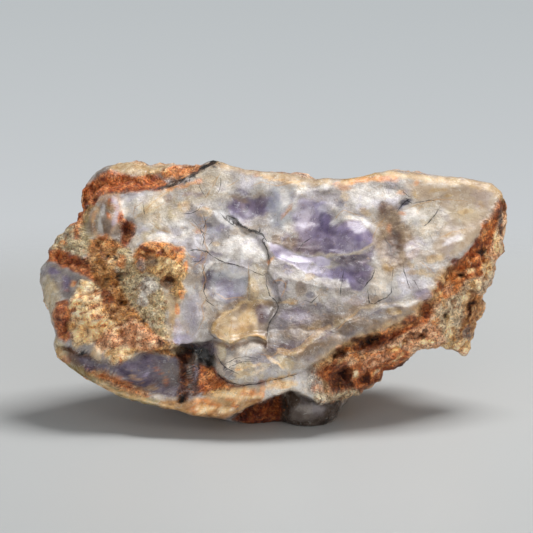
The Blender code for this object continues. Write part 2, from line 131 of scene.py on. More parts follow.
# Lumps and pits on the face: middle u, v, half sizes, turn in degrees, height
LUMPS = (
    (-37.7, 49.9, 4, 7.5, 6, 2.4),      # left lobe
    (-29.2, 51.1, 5.6, 6.1, 0, 2.0),      # right lobe
    (-41.9, 48.5, 2.1, 4.2, 8, 1.2),        # side lobe
    (-33.4, 46.4, 1.6, 4.7, -8, -3.0),     # gap between the lobes
    (-37.7, 58.4, 4.7, 2.1, 10, 1.3),      # rusty shoulder
    (-28.7, 58.1, 3.5, 1.6, 0, 0.9),
    (-39.1, 39.1, 4.2, 6.1, 20, 1.2),     # rubble
    (-40, 41.9, 2.1, 2.1, 0, 1.1),
    (-36.9, 38.1, 1.6, 1.9, 0, 1.0),
    (-25.7, 40.5, 7.8, 5.6, -10, 3.4),    # knob and the lumps round its rim
    (-28, 42.4, 3.1, 1.9, 20, 1.8),
    (-23.3, 41.9, 3.1, 2.1, -10, 1.4),
    (-30.4, 39.1, 1.4, 2.4, 0, 1.2),
    (-27.3, 38.8, 2.1, 1.6, 0, 1.0),
    (-28.5, 40.5, 2.4, 0.7, 10, -1.3),
    (-33.4, 39.1, 1.9, 3.3, 0, 1.6),       # small nodule beside it
    (-23.8, 34.6, 2.8, 2.1, 0, -3.4),      # cavity under the knob
    (-50.6, 33.9, 3.8, 5.6, 0, 2.0),       # end nub
    (-49.2, 26.1, 2.6, 4.2, 8, 2.0),       # brown lump
    (-42.8, 28.2, 5.9, 7.1, -12, 3.2),     # cream mound and its knuckles
    (-44, 30.1, 2.8, 2.6, 0, 0.9),
    (-41.9, 25.9, 3.5, 2.4, -10, 1.1),
    (-45.2, 21.7, 2.1, 2.1, 0, 1.6),
    (-42.1, 19.8, 1.6, 1.4, 0, 1.3),
    (-42.8, 22.4, 0.7, 1.6, 15, -1.6),
    (-47.1, 18.4, 2.4, 0.9, -20, -2.2),
    (-37.2, 20.7, 3.8, 2.8, 0, 1.6),      # rubble under it
    (-33.4, 25.4, 2.8, 2.1, 0, 1.0),
    (-30.4, 22.6, 2.6, 2.1, 0, 1.6),
    (-28, 19.8, 2.4, 1.6, -20, 1.4),
    (-35.3, 16.9, 2.8, 1.6, 0, 1.6),
    (-37.7, 30.6, 2.8, 2.4, 0, -1.5),
    (-33.7, 31.1, 3.3, 4.7, -30, -1.8),   # hollow beside the mound
    (-28.7, 32.9, 3.3, 3.5, 0, 1.3),      # sparkling lump
    (-38.1, 40.2, 0.9, 0.9, 0, -1.8),       # small deep pits
    (-36.2, 39.8, 0.7, 0.9, 0, -1.6),
    (-38.4, 35.1, 0.9, 0.7, 0, -1.8),
    (-35.5, 35.8, 0.7, 1.4, 15, -1.8),
    (-34.4, 29.4, 1.2, 0.7, -10, -2.0),
    (-29.9, 25.4, 0.9, 0.7, 0, -1.6),
    (-40.5, 17.9, 1.4, 2.8, 25, 2.4),       # curled nub
    (-45.9, 39.1, 6.1, 1.2, -22, -2.4),     # slit at the left end
    (-1.9, 16.5, 12.2, 6.4, 6, 1.4),      # belly of the shell flake
    (20.2, 45, 6.1, 5.2, 8, 2.1),      # dome in the violet hollow
    (18.8, 39.5, 6.1, 1.4, 8, -0.6),
    (8, 46.1, 4.7, 3.8, 10, 1.0),
    (7.1, 23.1, 8, 4.7, 5, 1.2),
    (33.7, 49.7, 3.3, 2.4, 20, 0.8),
    (32, 53.2, 1.9, 0.9, 20, -1.0),
    (23.3, 20.7, 4.7, 2.4, 10, -3.2),    # brown cavities in the crust
    (16.2, 17.2, 2.8, 1.9, 10, -2.6),
    (16.9, 11.8, 2.4, 4, -25, -2.8),
    (22.6, 11.8, 2.4, 1.9, 0, -1.6),
    (19.3, 17.9, 1.9, 0.9, -20, 2.0),
    (21.9, 17.2, 1.6, 0.9, 10, 1.8),
    (11.3, 12.5, 3.1, 4, 0, 1.6),
    (28.7, 16.9, 4.2, 2.4, 30, 1.6),
    (35.3, 21.7, 3.3, 0.9, -10, -2.2),
    (38.6, 22.1, 2.8, 2.1, 0, 1.2),
    (35.8, 28, 1.9, 2.1, 0, -1.6),
    (42.4, 33.9, 3.5, 2.1, 40, 1.6),
    (45.2, 36.2, 1.6, 0.9, 0, -2.6),
    (49.7, 41.7, 1.2, 1.4, 0, -2.4),
    (50.4, 45.9, 1.9, 3.1, -15, 1.4),
    (47.1, 39.1, 2.1, 1.4, 20, 1.6),
    (53.9, 43.1, 1.6, 2.4, 0, 1.6),
    (49.9, 33.7, 3.3, 2.4, 20, 1.8),
    (41.4, 26.6, 0.9, 0.9, 0, -2.2),
    (46.8, 28, 1.2, 2.8, -10, -1.8),
    (49.4, 28.7, 1.9, 2.8, 0, 1.4),
    (46.6, 22.6, 2.4, 3.8, -10, 1.2),
)

# Shallow scoops with a clear edge: middle u, v, half sizes, turn in degrees, depth
SCOOPS = (
    (-5.4, 51.8, 8, 4.7, 4, 1.8),
    (8.5, 46.1, 9.4, 7.1, 8, 2.8),
    (11.3, 37.7, 12.7, 4.2, -10, 1.7),
    (-10.4, 33.9, 5.2, 4, -6, 1.8),
    (7.1, 30.1, 7.1, 4.7, 15, 1.0),
    (37.2, 48.5, 14.6, 7.1, 18, 1.3),
    (24, 30.1, 9.4, 5.2, 10, 1.0),
    (27.8, 45.2, 4.2, 7.1, 20, 1.4),
    (-28.2, 12.7, 7.1, 4.2, -18, 1.6),
    (-17.4, 47.1, 3.8, 2.8, 0, 1.0),
    (-20.2, 25.9, 3.3, 6.1, 8, 1.2),
    (-37.7, 14.8, 6.1, 1.6, -16, 1.2),
)

# Broken edges on the face: the overhang, the dark hollow, two flakes and the raised lower lip, and how
# far the place under or inside each is sunk or raised
OVERHANG_DEPTH = 3.4
HOLLOW_DEPTH = 5.5
SHELL_FLAKE_HEIGHT = 2.0
HOOD_FLAKE_HEIGHT = 2.2
HOOD_RIDGE_HEIGHT = 0.35
LOWER_LIP_HEIGHT, LOWER_LIP_WIDTH = 1.2, 2.6
FACET_HEIGHT = 0.9
GROOVE_DEPTH = 1.5               # of the groove along the crust line,
GROOVE_PLACE, GROOVE_WIDTH = 1.4, 1.3    # this far past it, and this wide
OVERHANG = (
    (-50.8, 20.2), (-48, 18.8), (-45.2, 17.7), (-42.4, 17.2), (-40.5, 15.8), (-38.6, 15.5),
    (-36.2, 14.6), (-34.4, 15.8), (-32.5, 16.2), (-30.4, 17.4), (-27.8, 18.1), (-24.7, 18.4),
    (-21.2, 19.3), (-17.9, 20),
)
HOLLOW = (
    (-22.1, 18.4), (-20.2, 19.3), (-18.1, 19.9), (-15.3, 20.5), (-13.2, 21.1), (-13.4, 18.4),
    (-12.9, 16), (-13.4, 14.4), (-15.3, 14.6), (-17.9, 15.5), (-20.7, 15.5),
)
SHELL_FLAKE = (
    (-13.2, 21.2), (-13.4, 18.4), (-12.9, 16), (-13.4, 14.4), (-12.2, 12.7), (-10.4, 11.3),
    (-9.2, 10.8), (-7.1, 10.5), (-4.7, 10.5), (-1.9, 10.9), (1.2, 11.8), (4, 12.5), (7.1, 13.4),
    (11.3, 15.5), (16, 18.4), (17.7, 21.2), (12.9, 22.6), (7.1, 23.5), (0, 23.1), (-7.1, 21.9),
)
HOOD_FLAKE = (
    (-14.1, 22.8), (-13.2, 24.9), (-10.8, 27.1), (-7.5, 28.7), (-5.2, 30.1), (-1.9, 30.8), (1.4, 30.1),
    (2.1, 28.7), (1.4, 27.1), (0, 24.9), (-0.5, 22.4), (-0.7, 20), (-1.4, 20.9), (-2.8, 21.5),
    (-4.7, 21.4), (-7.1, 20.7), (-9.2, 19.7), (-11.8, 21.2),
)
LOWER_LIP = (
    (-51.3, 21.2), (-50.1, 17.9), (-48, 15.1), (-43.3, 11.8), (-35.3, 7.5), (-28.2, 5.6), (-21.2, 4.2),
    (-15.3, 3.1), (-8.9, 2.6),
)


def smoothstep(low, high, x):
    """0 below low, 1 above high and an S-curve between."""
    t = np.clip((x - low) / (high - low), 0, 1)
    return t * t * (3 - 2 * t)


def soft_ramp(x, r):
    """0 below -r, x above r and a parabola between."""
    return np.where(x > r, x, np.where(x < -r, 0, (x + r) ** 2 / (4 * r)))


def soft_max(a, b, r):
    """The larger of two fields, rounded where they differ by less than r."""
    h = np.maximum(r - np.abs(a - b), 0) / r
    return np.maximum(a, b) + h * h * r / 4


def nearest(u, v, path):
    """From the nearest point of a path: the offset du, dv, +1 or -1 for the path's left or right side,
    and the share of the path's length that lies before that point."""
    best = np.full(u.shape, 1e9)
    found = np.zeros((4,) + u.shape)
    run = 0.0
    for start, end in zip(path[:-1], path[1:]):
        edge_u, edge_v = end[0] - start[0], end[1] - start[1]
        length = math.hypot(edge_u, edge_v)
        t = np.clip(((u - start[0]) * edge_u + (v - start[1]) * edge_v) / length ** 2, 0, 1)
        du, dv = u - start[0] - t * edge_u, v - start[1] - t * edge_v
        side = np.where(edge_u * dv - edge_v * du >= 0, 1.0, -1.0)
        near = np.hypot(du, dv) < best - 1e-9
        found = np.where(near, (du, dv, side, run + t * length), found)
        best = np.hypot(found[0], found[1])
        run += length
    return found[0], found[1], found[2], found[3] / run


def across(u, v, path):
    """Distance from a path, positive on its left, and the share of its length reached there."""
    du, dv, side, along = nearest(u, v, path)
    return np.hypot(du, dv) * side, along


def crowd(u, v, path):
    """Points drawn sideways towards a path, most of all the nearest, so that facets follow it."""
    du, dv = nearest(u, v, path)[:2]
    drawn = (1 - CROWD_LEFT) * (1 - smoothstep(0, CROWD_REACH, np.hypot(du, dv)))
    return u - du * drawn, v - dv * drawn


def outside(u, v, outline):
    """Distance to a closed outline, negative inside it."""
    inside = np.zeros(u.shape, bool)
    for (u0, v0), (u1, v1) in zip(outline, outline[1:] + outline[:1]):
        inside ^= ((v1 > v) != (v0 > v)) & (u < (u0 - u1) * (v - v1) / (v0 - v1 + 1e-12) + u1)
    distance = np.abs(across(u, v, outline + outline[:1])[0])
    return np.where(inside, -distance, distance)


def lean_to_floor(u, w, v):
    """x, y, z of face coordinates: the frame leans back by LEAN about the x axis."""
    return u, w * math.cos(LEAN) + v * math.sin(LEAN), v * math.cos(LEAN) - w * math.sin(LEAN)


def face(u, v):
    """w of the broken face: a leaning arch, stepped back at the shoulder, falling away past the crust."""
    w = FACE_START + (FACE_SLOPE + FACE_LEAN * v) * v + FACE_CROWN * u * u
    w = w + LEFT_END_FALL * soft_ramp(LEFT_END - u, 6.0)
    past, along = across(u, v, CREASE)
    w = w + SHOULDER_STEP * smoothstep(-0.5, 1.9, past) * smoothstep(0.0, 0.12, along)
    past, along = across(u, v, CRUST_LINE)
    fall = RIND_FALL[0] + (RIND_FALL[1] - RIND_FALL[0]) * smoothstep(0.55, 0.8, along)
    return w + fall * soft_ramp(past, 1.2)


def stone(u, w, v):
    """Negative inside the stone: the face in front, walls of the rim's outline drawing in towards the
    back, flat breaks round the back, and nodules underneath, all cut by the floor."""
    front = face(u, v)
    behind = w - front - RIM_DEPTH
    wall = (outside(u, v, RIM) - RIM_SWELL) * (1 - smoothstep(*CORE_DEPTH, behind))
    wall = wall + outside(u, v, BACK_OUTLINE) * smoothstep(*CORE_DEPTH, behind)
    wall = wall + SIDE_TAPER * soft_ramp(behind, 4.0)
    shoulder = smoothstep(-15.0, -30.0, u) * smoothstep(44.0, 54.0, v)
    body = soft_max(front - w, wall, RIM_ROUNDING + SHOULDER_ROUNDING * shoulder)
    for direction, distance in BREAKS:
        n = np.array(direction) / np.linalg.norm(direction)
        reach = (u - SPINE_MIDDLE[0]) * n[0] + (w - SPINE_MIDDLE[1]) * n[1] + (v - SPINE_MIDDLE[2]) * n[2]
        body = soft_max(body, reach - distance, BREAK_ROUNDING)
    x, y, z = lean_to_floor(u, w, v)
    join = NODULE_JOIN[0] + (NODULE_JOIN[1] - NODULE_JOIN[0]) * smoothstep(14.0, 30.0, y)
    for middle, half in NODULES:
        ratio = np.sqrt(sum(((a - m) / h) ** 2 for a, m, h in zip((x, y, z), middle, half)))
        body = -soft_max(-body, -(ratio - 1) * min(half), join)
    return np.maximum(body, -z)


def box_lattice(cells):
    """Directions (u, w, v) to the surface points of a box of cells, evenly spread, and its outward quads."""
    points, quads = [], []
    for axis in range(3):
        first, second = (axis + 1) % 3, (axis + 2) % 3
        i, j = np.meshgrid(np.arange(cells[first] + 1), np.arange(cells[second] + 1), indexing="ij")
        for end in (0, 1):
            place = np.zeros(i.shape + (3,), int)
            place[..., first], place[..., second], place[..., axis] = i, j, end * cells[axis]
            key = (place[..., 0] * (cells[1] + 1) + place[..., 1]) * (cells[2] + 1) + place[..., 2]
            quad = np.stack([key[:-1, :-1], key[1:, :-1], key[1:, 1:], key[:-1, 1:]], -1).reshape(-1, 4)
            quads.append(quad if end else quad[:, ::-1])
            points.append(np.column_stack([key.ravel(), place.reshape(-1, 3)]))
    points = np.concatenate(points)
    keys, first_seen = np.unique(points[:, 0], return_index=True)
    directions = np.tan((points[first_seen, 1:] / np.array(cells) * 2 - 1) * math.pi / 4)
    directions /= np.linalg.norm(directions, axis=1)[:, None]
    return directions, np.searchsorted(keys, np.concatenate(quads))


def cast(directions, steps=24):
    """The stone's surface along each direction: the angle from the front is drawn in by a share of its
    sine, and the distance from the spine is halved down to the surface."""
    angle = np.arccos(np.clip(-directions[:, 1], -1, 1))
    drawn = angle - FRONT_CROWDING * np.sin(angle)
    spread = np.sin(drawn) / np.maximum(np.sin(angle), 1e-9)
    ray = np.column_stack([directions[:, 0] * spread, -np.cos(drawn), directions[:, 2] * spread])
    start = np.array(SPINE_MIDDLE) + np.outer(ray[:, 0], (SPINE_HALF, 0, 0))
    near, far = np.zeros(len(ray)), np.full(len(ray), FARTHEST)
    for _ in range(steps):
        middle = (near + far) / 2
        u, w, v = (start + middle[:, None] * ray).T
        beyond = stone(u, w, v) > 0
        far = np.where(beyond, middle, far)
        near = np.where(beyond, near, middle)
    return start + near[:, None] * ray


def scramble(i, j, k, seed):
    """A fixed jumble of bits for each lattice point."""
    h = (i.astype(np.uint32) * np.uint32(374761393) + j.astype(np.uint32) * np.uint32(668265263)
         + k.astype(np.uint32) * np.uint32(2246822519) + np.uint32(seed * 3266489917 % 2 ** 32))
    h = (h ^ (h >> np.uint32(13))) * np.uint32(1274126177)
    return h ^ (h >> np.uint32(16))


def noise(points, seed):
    """Smooth lattice noise, about -1 to 1: slopes at the lattice points, blended by a quintic S-curve."""
    corner = np.floor(points).astype(np.int64)
    f = points - corner
    s = f * f * f * (f * (f * 6 - 15) + 10)
    total = np.zeros(len(points))
    for bits in range(8):
        o = np.array([bits & 1, bits >> 1 & 1, bits >> 2 & 1])
        h = scramble(*(corner + o).T, seed)
        slope = np.column_stack([(h >> np.uint32(n) & np.uint32(255)) / 127.5 - 1 for n in (0, 8, 16)])
        total += np.prod(np.where(o, s, 1 - s), axis=1) * np.einsum("ij,ij->i", slope, f - o)
    return total


def layered(points, size, octaves, seed):
    """Noise of the given size plus ever finer layers of half the strength."""
    return sum(noise(points / size * 2 ** n + 17.3 * n, seed + n) / 2 ** n for n in range(octaves))


def scoops(points, size, seed):
    """Shell-shaped breaks that meet in sharp ridges: the squared distance to the nearest scattered point."""
    q = points / size
    cell = np.floor(q).astype(np.int64)
    best = np.full(len(q), 9.0)
    for offset in np.ndindex(3, 3, 3):
        at = cell + np.array(offset) - 1
        h = scramble(*at.T, seed)
        scatter = np.column_stack([(h >> np.uint32(n) & np.uint32(1023)) / 1023.0 for n in (0, 10, 20)])
        best = np.minimum(best, ((at + scatter - q) ** 2).sum(1))
    return best * 1.6 - 0.5


def oval(u, v, middle_u, middle_v, half_u, half_v, turn):
    """Distance from the middle of a turned oval, 1 on its edge."""
    c, s = math.cos(math.radians(turn)), math.sin(math.radians(turn))
    du, dv = u - middle_u, v - middle_v
    return np.hypot((du * c + dv * s) / half_u, (dv * c - du * s) / half_v)


# Finer lines on the broken face: a step follows each, on its left
CRACK = (
    (-0.5, 19.5), (-0.5, 24), (0.5, 27.5), (2.1, 30.1), (1.2, 33.7), (-0.5, 37.2), (0, 40), (-1.6, 44),
    (-4.2, 45.9), (-7.5, 48), (-10.4, 50.4),
)
CHAMBER = (
    (-16.9, 22.6), (-15.5, 26.4), (-15.1, 30.1), (-15.5, 33.7), (-15.1, 36.7), (-12.7, 38.6),
    (-8.9, 38.4), (-5.2, 37.2), (-4.7, 32.5), (-5.4, 30.1),
)
SEAM = (
    (35.3, 30.1), (31.8, 29.2), (25.9, 28.5), (20, 25.9), (16, 23.5), (11.3, 20.9), (7.5, 18.4),
    (3.3, 16.7),
)
FLAKE_EDGE = (
    (-13.6, 15.1), (-12.5, 13.2), (-10.8, 11.5), (-8.9, 10.7), (-5.9, 10.4), (-2.8, 10.8), (0, 11.5),
    (4.7, 12.6),
)
FACET = (
    (-15.1, 39.1), (-13.6, 43.1), (-10.4, 44.7), (-5.6, 44.7), (-1.9, 45.4), (-0.5, 41.4), (-0.5, 39.1),
    (-4.7, 38.1), (-9.9, 38.6),
)
HOOD_RIDGE = (
    (-9.2, 19.8), (-9.2, 25.4),
)
STEPS = (
    (CRACK, -1.1, 0.5, 7.0, 0.05),       # path, height, width of the edge, reach, tapered share
    (CHAMBER, 0.8, 0.6, 5.0, 0.08),
    (SEAM, 1.0, 1.0, 5.0, 0.08),
    (FLAKE_EDGE, 1.6, 0.4, 7.0, 0.10),
)


def step(u, v, path, height, edge, reach, ends):
    """A step on the left of a path that dies out over the reach, and towards both ends of the path."""
    past, along = across(u, v, path)
    rise = smoothstep(-edge / 2, edge / 2, past) * np.exp(-np.maximum(past, 0) / reach)
    return height * rise * smoothstep(0, ends, along) * smoothstep(1, 1 - ends, along)


def relief(u, v):
    """How far the forms of the face stand out: lumps and pits, scoops, and the steps at broken edges."""
    height = np.zeros(u.shape)
    for *shape, high in LUMPS:
        height += high * np.clip(1 - oval(u, v, *shape) ** 2, 0, 1) ** 2
    for *shape, deep in SCOOPS:
        height -= deep * np.clip(1 - oval(u, v, *shape) ** 2, 0, 1)
    past, along = across(u, v, CREASE)
    valley = smoothstep(-0.4, 1.4, past) * smoothstep(5.0, 2.2, past)
    height -= CREASE_DEPTH * valley * smoothstep(0, 0.12, along)
    past, along = across(u, v, OVERHANG)
    ends = smoothstep(0, 0.06, along) * smoothstep(1, 0.9, along)
    height -= OVERHANG_DEPTH * smoothstep(0.3, -0.7, past) * smoothstep(-12.0, -6.0, past) * ends
    height += LOWER_LIP_HEIGHT * np.exp(-(across(u, v, LOWER_LIP)[0] / LOWER_LIP_WIDTH) ** 2)
    height -= HOLLOW_DEPTH * smoothstep(0.3, -1.2, outside(u, v, HOLLOW))
    shell = outside(u, v, SHELL_FLAKE)
    height += SHELL_FLAKE_HEIGHT * smoothstep(0.25, -0.35, shell) * smoothstep(24.5, 19.5, v)
    hood = outside(u, v, HOOD_FLAKE)
    height += HOOD_FLAKE_HEIGHT * smoothstep(0.2, -0.3, hood) * smoothstep(31.0, 21.0, v)
    height += HOOD_RIDGE_HEIGHT * np.exp(-across(u, v, HOOD_RIDGE)[0] ** 2) * smoothstep(0.2, -0.5, hood)
    height += FACET_HEIGHT * smoothstep(0.3, -3.0, outside(u, v, FACET))
    for line in STEPS:
        height += step(u, v, *line)
    past, along = across(u, v, CRUST_LINE)
    groove = np.exp(-((past - GROOVE_PLACE) / GROOVE_WIDTH) ** 2)
    return height - GROOVE_DEPTH * groove * smoothstep(0.02, 0.1, along) * smoothstep(0.9, 0.8, along)


# The roughness of the surface, each as height and size: broad scoops and waves of the back, scoops of the
# whole stone, chips of the opal, and the pores and lumps of the crust
BACK_SCOOPS, BACK_WAVES = (2.6, 16.0), (1.2, 14.0)
WIDE_SCOOPS = (0.8, 6.5)
CHIPS, SMALL_CHIPS, CHIP_WAVES = (0.28, 3.6), (0.07, 1.9), (0.08, 2.6)
PORE_WAVES, PORES = (0.45, 1.5), (0.75, 2.3)
LUMP_WAVES, CRUMBS = (0.8, 4.0), (1.3, 5.5)
GLASSY_CALM = 0.75               # glassy opal is this much less chipped
LEAST_CRUST, LEAST_GLASS = 0.8, 0.3    # only fields this strong change the surface as well as its colour
WARP_SIZE = 8.0                  # the scoops bend over this length
PATH_SWAY, CRUST_RIPPLE = (0.5, 4.0), (0.5, 1.6)    # how far broken edges and crust wander, over what length

# Where the forms of the face pass over to the rest: from none to all, by height above the floor and by how
# far the surface turns to the front or the back
ABOVE_FLOOR = (0.2, 3.0)
FACING_FRONT, FACING_BACK = (0.15, 0.55), (-0.05, 0.45)
BACK_CRUST = (0.2, 0.6)
# There are none under the low ledge in the middle: below these v, behind these w and between these u
LEDGE_FOOT, LEDGE_BACK = (12, 8), (-1, 2)
LEDGE_LEFT, LEDGE_RIGHT = (-20, -17), (24, 20)


def outward(points, quads):
    """The outward direction at each point, from the quads round it."""
    a, b, c, d = (points[quads[:, i]] for i in range(4))
    facing = np.cross(c - a, d - b)
    total = np.zeros_like(points)
    for corner in quads.T:
        for axis in range(3):
            total[:, axis] += np.bincount(corner, facing[:, axis], len(points))
    return total / np.linalg.norm(total, axis=1)[:, None]


def rough_surface(cells):
    """Points (u, w, v), quads, the plain cast points, and how far each is crust, in a pit of the crust or
    glassy;
    the pit depth later gives painted shade in the pits and painted light on the lumps. The surface is the
    cast form, the relief pushed out of the face, then scoops, lumps and grain along the outward direction,
    strongest on the crust and behind. The flat spot is left as it is."""
    directions, quads = box_lattice(cells)
    points = cast(directions)
    plain = points.copy()
    u, w, v = plain.T
    lift = smoothstep(*ABOVE_FLOOR, lean_to_floor(u, w, v)[2])
    below_ledge = smoothstep(*LEDGE_FOOT, v) * smoothstep(*LEDGE_BACK, w)
    below_ledge = below_ledge * smoothstep(*LEDGE_LEFT, u) * smoothstep(*LEDGE_RIGHT, u)
    facing = smoothstep(*FACING_FRONT, -outward(points, quads)[:, 1]) * lift * (1 - below_ledge)
    sway_u = PATH_SWAY[0] * layered(plain, PATH_SWAY[1], 2, 5)
    sway_v = PATH_SWAY[0] * layered(plain, PATH_SWAY[1], 2, 9)
    aim_u, aim_v = u + sway_u, v + sway_v
    for path in (OVERHANG, HOLLOW + HOLLOW[:1], SHELL_FLAKE + SHELL_FLAKE[:1],
                 HOOD_FLAKE + HOOD_FLAKE[:1], CRACK, CHAMBER, SEAM):
        aim_u, aim_v = crowd(aim_u, aim_v, path)
    new_u = u + (aim_u - sway_u - u) * facing
    new_v = v + (aim_v - sway_v - v) * facing
    new_w = w + (face(new_u, new_v) - face(u, v)) * facing
    points = np.column_stack([new_u, new_w - relief(aim_u, aim_v) * facing, new_v])

    away = outward(points, quads)
    back = smoothstep(*FACING_BACK, away[:, 1])
    ripple = CRUST_RIPPLE[0] * layered(plain, CRUST_RIPPLE[1], 2, 17)
    crust = np.maximum(smoothstep(*BACK_CRUST, back), cover(new_u, new_v, CRUSTY, LEAST_CRUST, ripple))
    glassy = cover(new_u, new_v, GLASSY, LEAST_GLASS, ripple) * (1 - crust)
    warp = np.column_stack([layered(plain, WARP_SIZE, 2, seed) for seed in (21, 22, 23)])

    def bent_scoops(form, bend, seed):
        """The form's height times scoops of its size, on points shifted by the bend times the warp."""
        return form[0] * scoops(plain + bend * warp, form[1], seed)

    def waves(form, seed):
        """The form's height times three layers of noise of its size."""
        return form[0] * layered(plain, form[1], 3, seed)

    depth = back * (bent_scoops(BACK_SCOOPS, 3.0, 4) + waves(BACK_WAVES, 31))
    depth += (0.45 + 0.55 * back) * bent_scoops(WIDE_SCOOPS, 1.5, 6)
    chips = bent_scoops(CHIPS, 1.2, 51) + bent_scoops(SMALL_CHIPS, 0.8, 53)
    chips = (chips + waves(CHIP_WAVES, 52)) * (1 - GLASSY_CALM * glassy)
    pores = waves(PORE_WAVES, 61) - bent_scoops(PORES, 0.8, 71)
    lumps = waves(LUMP_WAVES, 82) - bent_scoops(CRUMBS, 1.5, 81)
    depth += chips + crust * (pores + lumps - chips)
    points += away * (depth * lift)[:, None]
    # how deep each point lies in the crust's pits: the material darkens the pits with it as painted shade and
    # lightens the lumps as painted light
    cavity = crust * (0.5 - pores - 0.35 * lumps)
    return points, quads, plain, crust, cavity, glassy


# ---------------------------------------------------------------- the stone: its colours
# The broken opal is milky white and lavender with violet clouds and honey and rust along its cracks.
# The crust is rusty, sandy and cream, and porous. Each patch below was placed on the face.

# Some fields, spots and streaks below are painted shade, in pits, hollows and under edges, and some are
# painted light and highlights; the comment at each says which.
# Each tone: dark, middle and light, and the size of its mottling
TONES = {
    "milk": ((156, 148, 142), (170, 162, 156), (190, 184, 178), 3.0),
    "grey": ((116, 108, 105), (133, 125, 121), (152, 145, 140), 2.2),
    "fog": ((112, 94, 78), (132, 114, 98), (156, 139, 122), 1.8),
    "lilac": ((160, 150, 168), (188, 179, 196), (214, 207, 221), 2.4),
    "violet": ((92, 82, 104), (114, 103, 127), (140, 129, 154), 2.2),
    "dusk": ((118, 106, 132), (138, 126, 150), (162, 150, 172), 2.2),
    "mauve": ((90, 78, 90), (116, 104, 116), (146, 132, 143), 1.6),
    "slate": ((84, 75, 88), (106, 97, 107), (136, 127, 133), 1.6),
    "navy": ((44, 42, 58), (74, 70, 88), (112, 108, 124), 1.2),
    "honey": ((158, 124, 78), (190, 160, 114), (214, 190, 150), 1.8),
    "hood": ((162, 134, 102), (180, 154, 120), (196, 174, 142), 3.0),
    "tan": ((176, 130, 80), (212, 172, 118), (236, 206, 156), 1.2),
    "rust": ((134, 60, 24), (194, 110, 60), (234, 164, 110), 1.0),
    "brick": ((72, 32, 14), (120, 62, 32), (168, 102, 62), 1.0),
    "orange": ((196, 104, 48), (234, 154, 92), (248, 198, 144), 1.2),
    "brown": ((46, 24, 12), (82, 50, 30), (122, 84, 56), 1.2),
    "dark": ((12, 9, 8), (24, 18, 15), (44, 35, 30), 1.2),
    "cream": ((226, 172, 110), (252, 216, 162), (255, 240, 210), 1.2),
    "ivory": ((178, 158, 126), (200, 184, 154), (222, 210, 186), 1.6),
    "rind": ((186, 136, 100), (222, 178, 142), (244, 214, 182), 1.2),
    "salmon": ((196, 132, 94), (232, 174, 136), (250, 210, 176), 1.2),
    "olive": ((112, 94, 52), (144, 128, 84), (174, 162, 120), 1.6),
    "moss": ((166, 144, 104), (200, 182, 144), (222, 210, 180), 1.2),
    "rubble": ((136, 88, 48), (182, 132, 84), (220, 178, 128), 1.2),
    # shade: a dark grey-brown used only as painted shade
    "shade": ((62, 52, 46), (82, 72, 66), (106, 95, 88), 2.4),
    "rim": ((160, 128, 88), (192, 164, 124), (214, 194, 160), 1.2),
    "frost": ((136, 136, 144), (160, 162, 169), (186, 189, 195), 2.4),
    # stain_and_shade: brown for real stains, and in the spots at the lower lip and on the lobes for painted
    # shade
    "stain_and_shade": ((106, 78, 50), (140, 114, 84), (172, 150, 122), 1.0),
    "buff": ((160, 138, 112), (173, 153, 131), (190, 174, 154), 2.4),
    "white": ((196, 188, 180), (220, 214, 208), (238, 235, 231), 1.8),
}

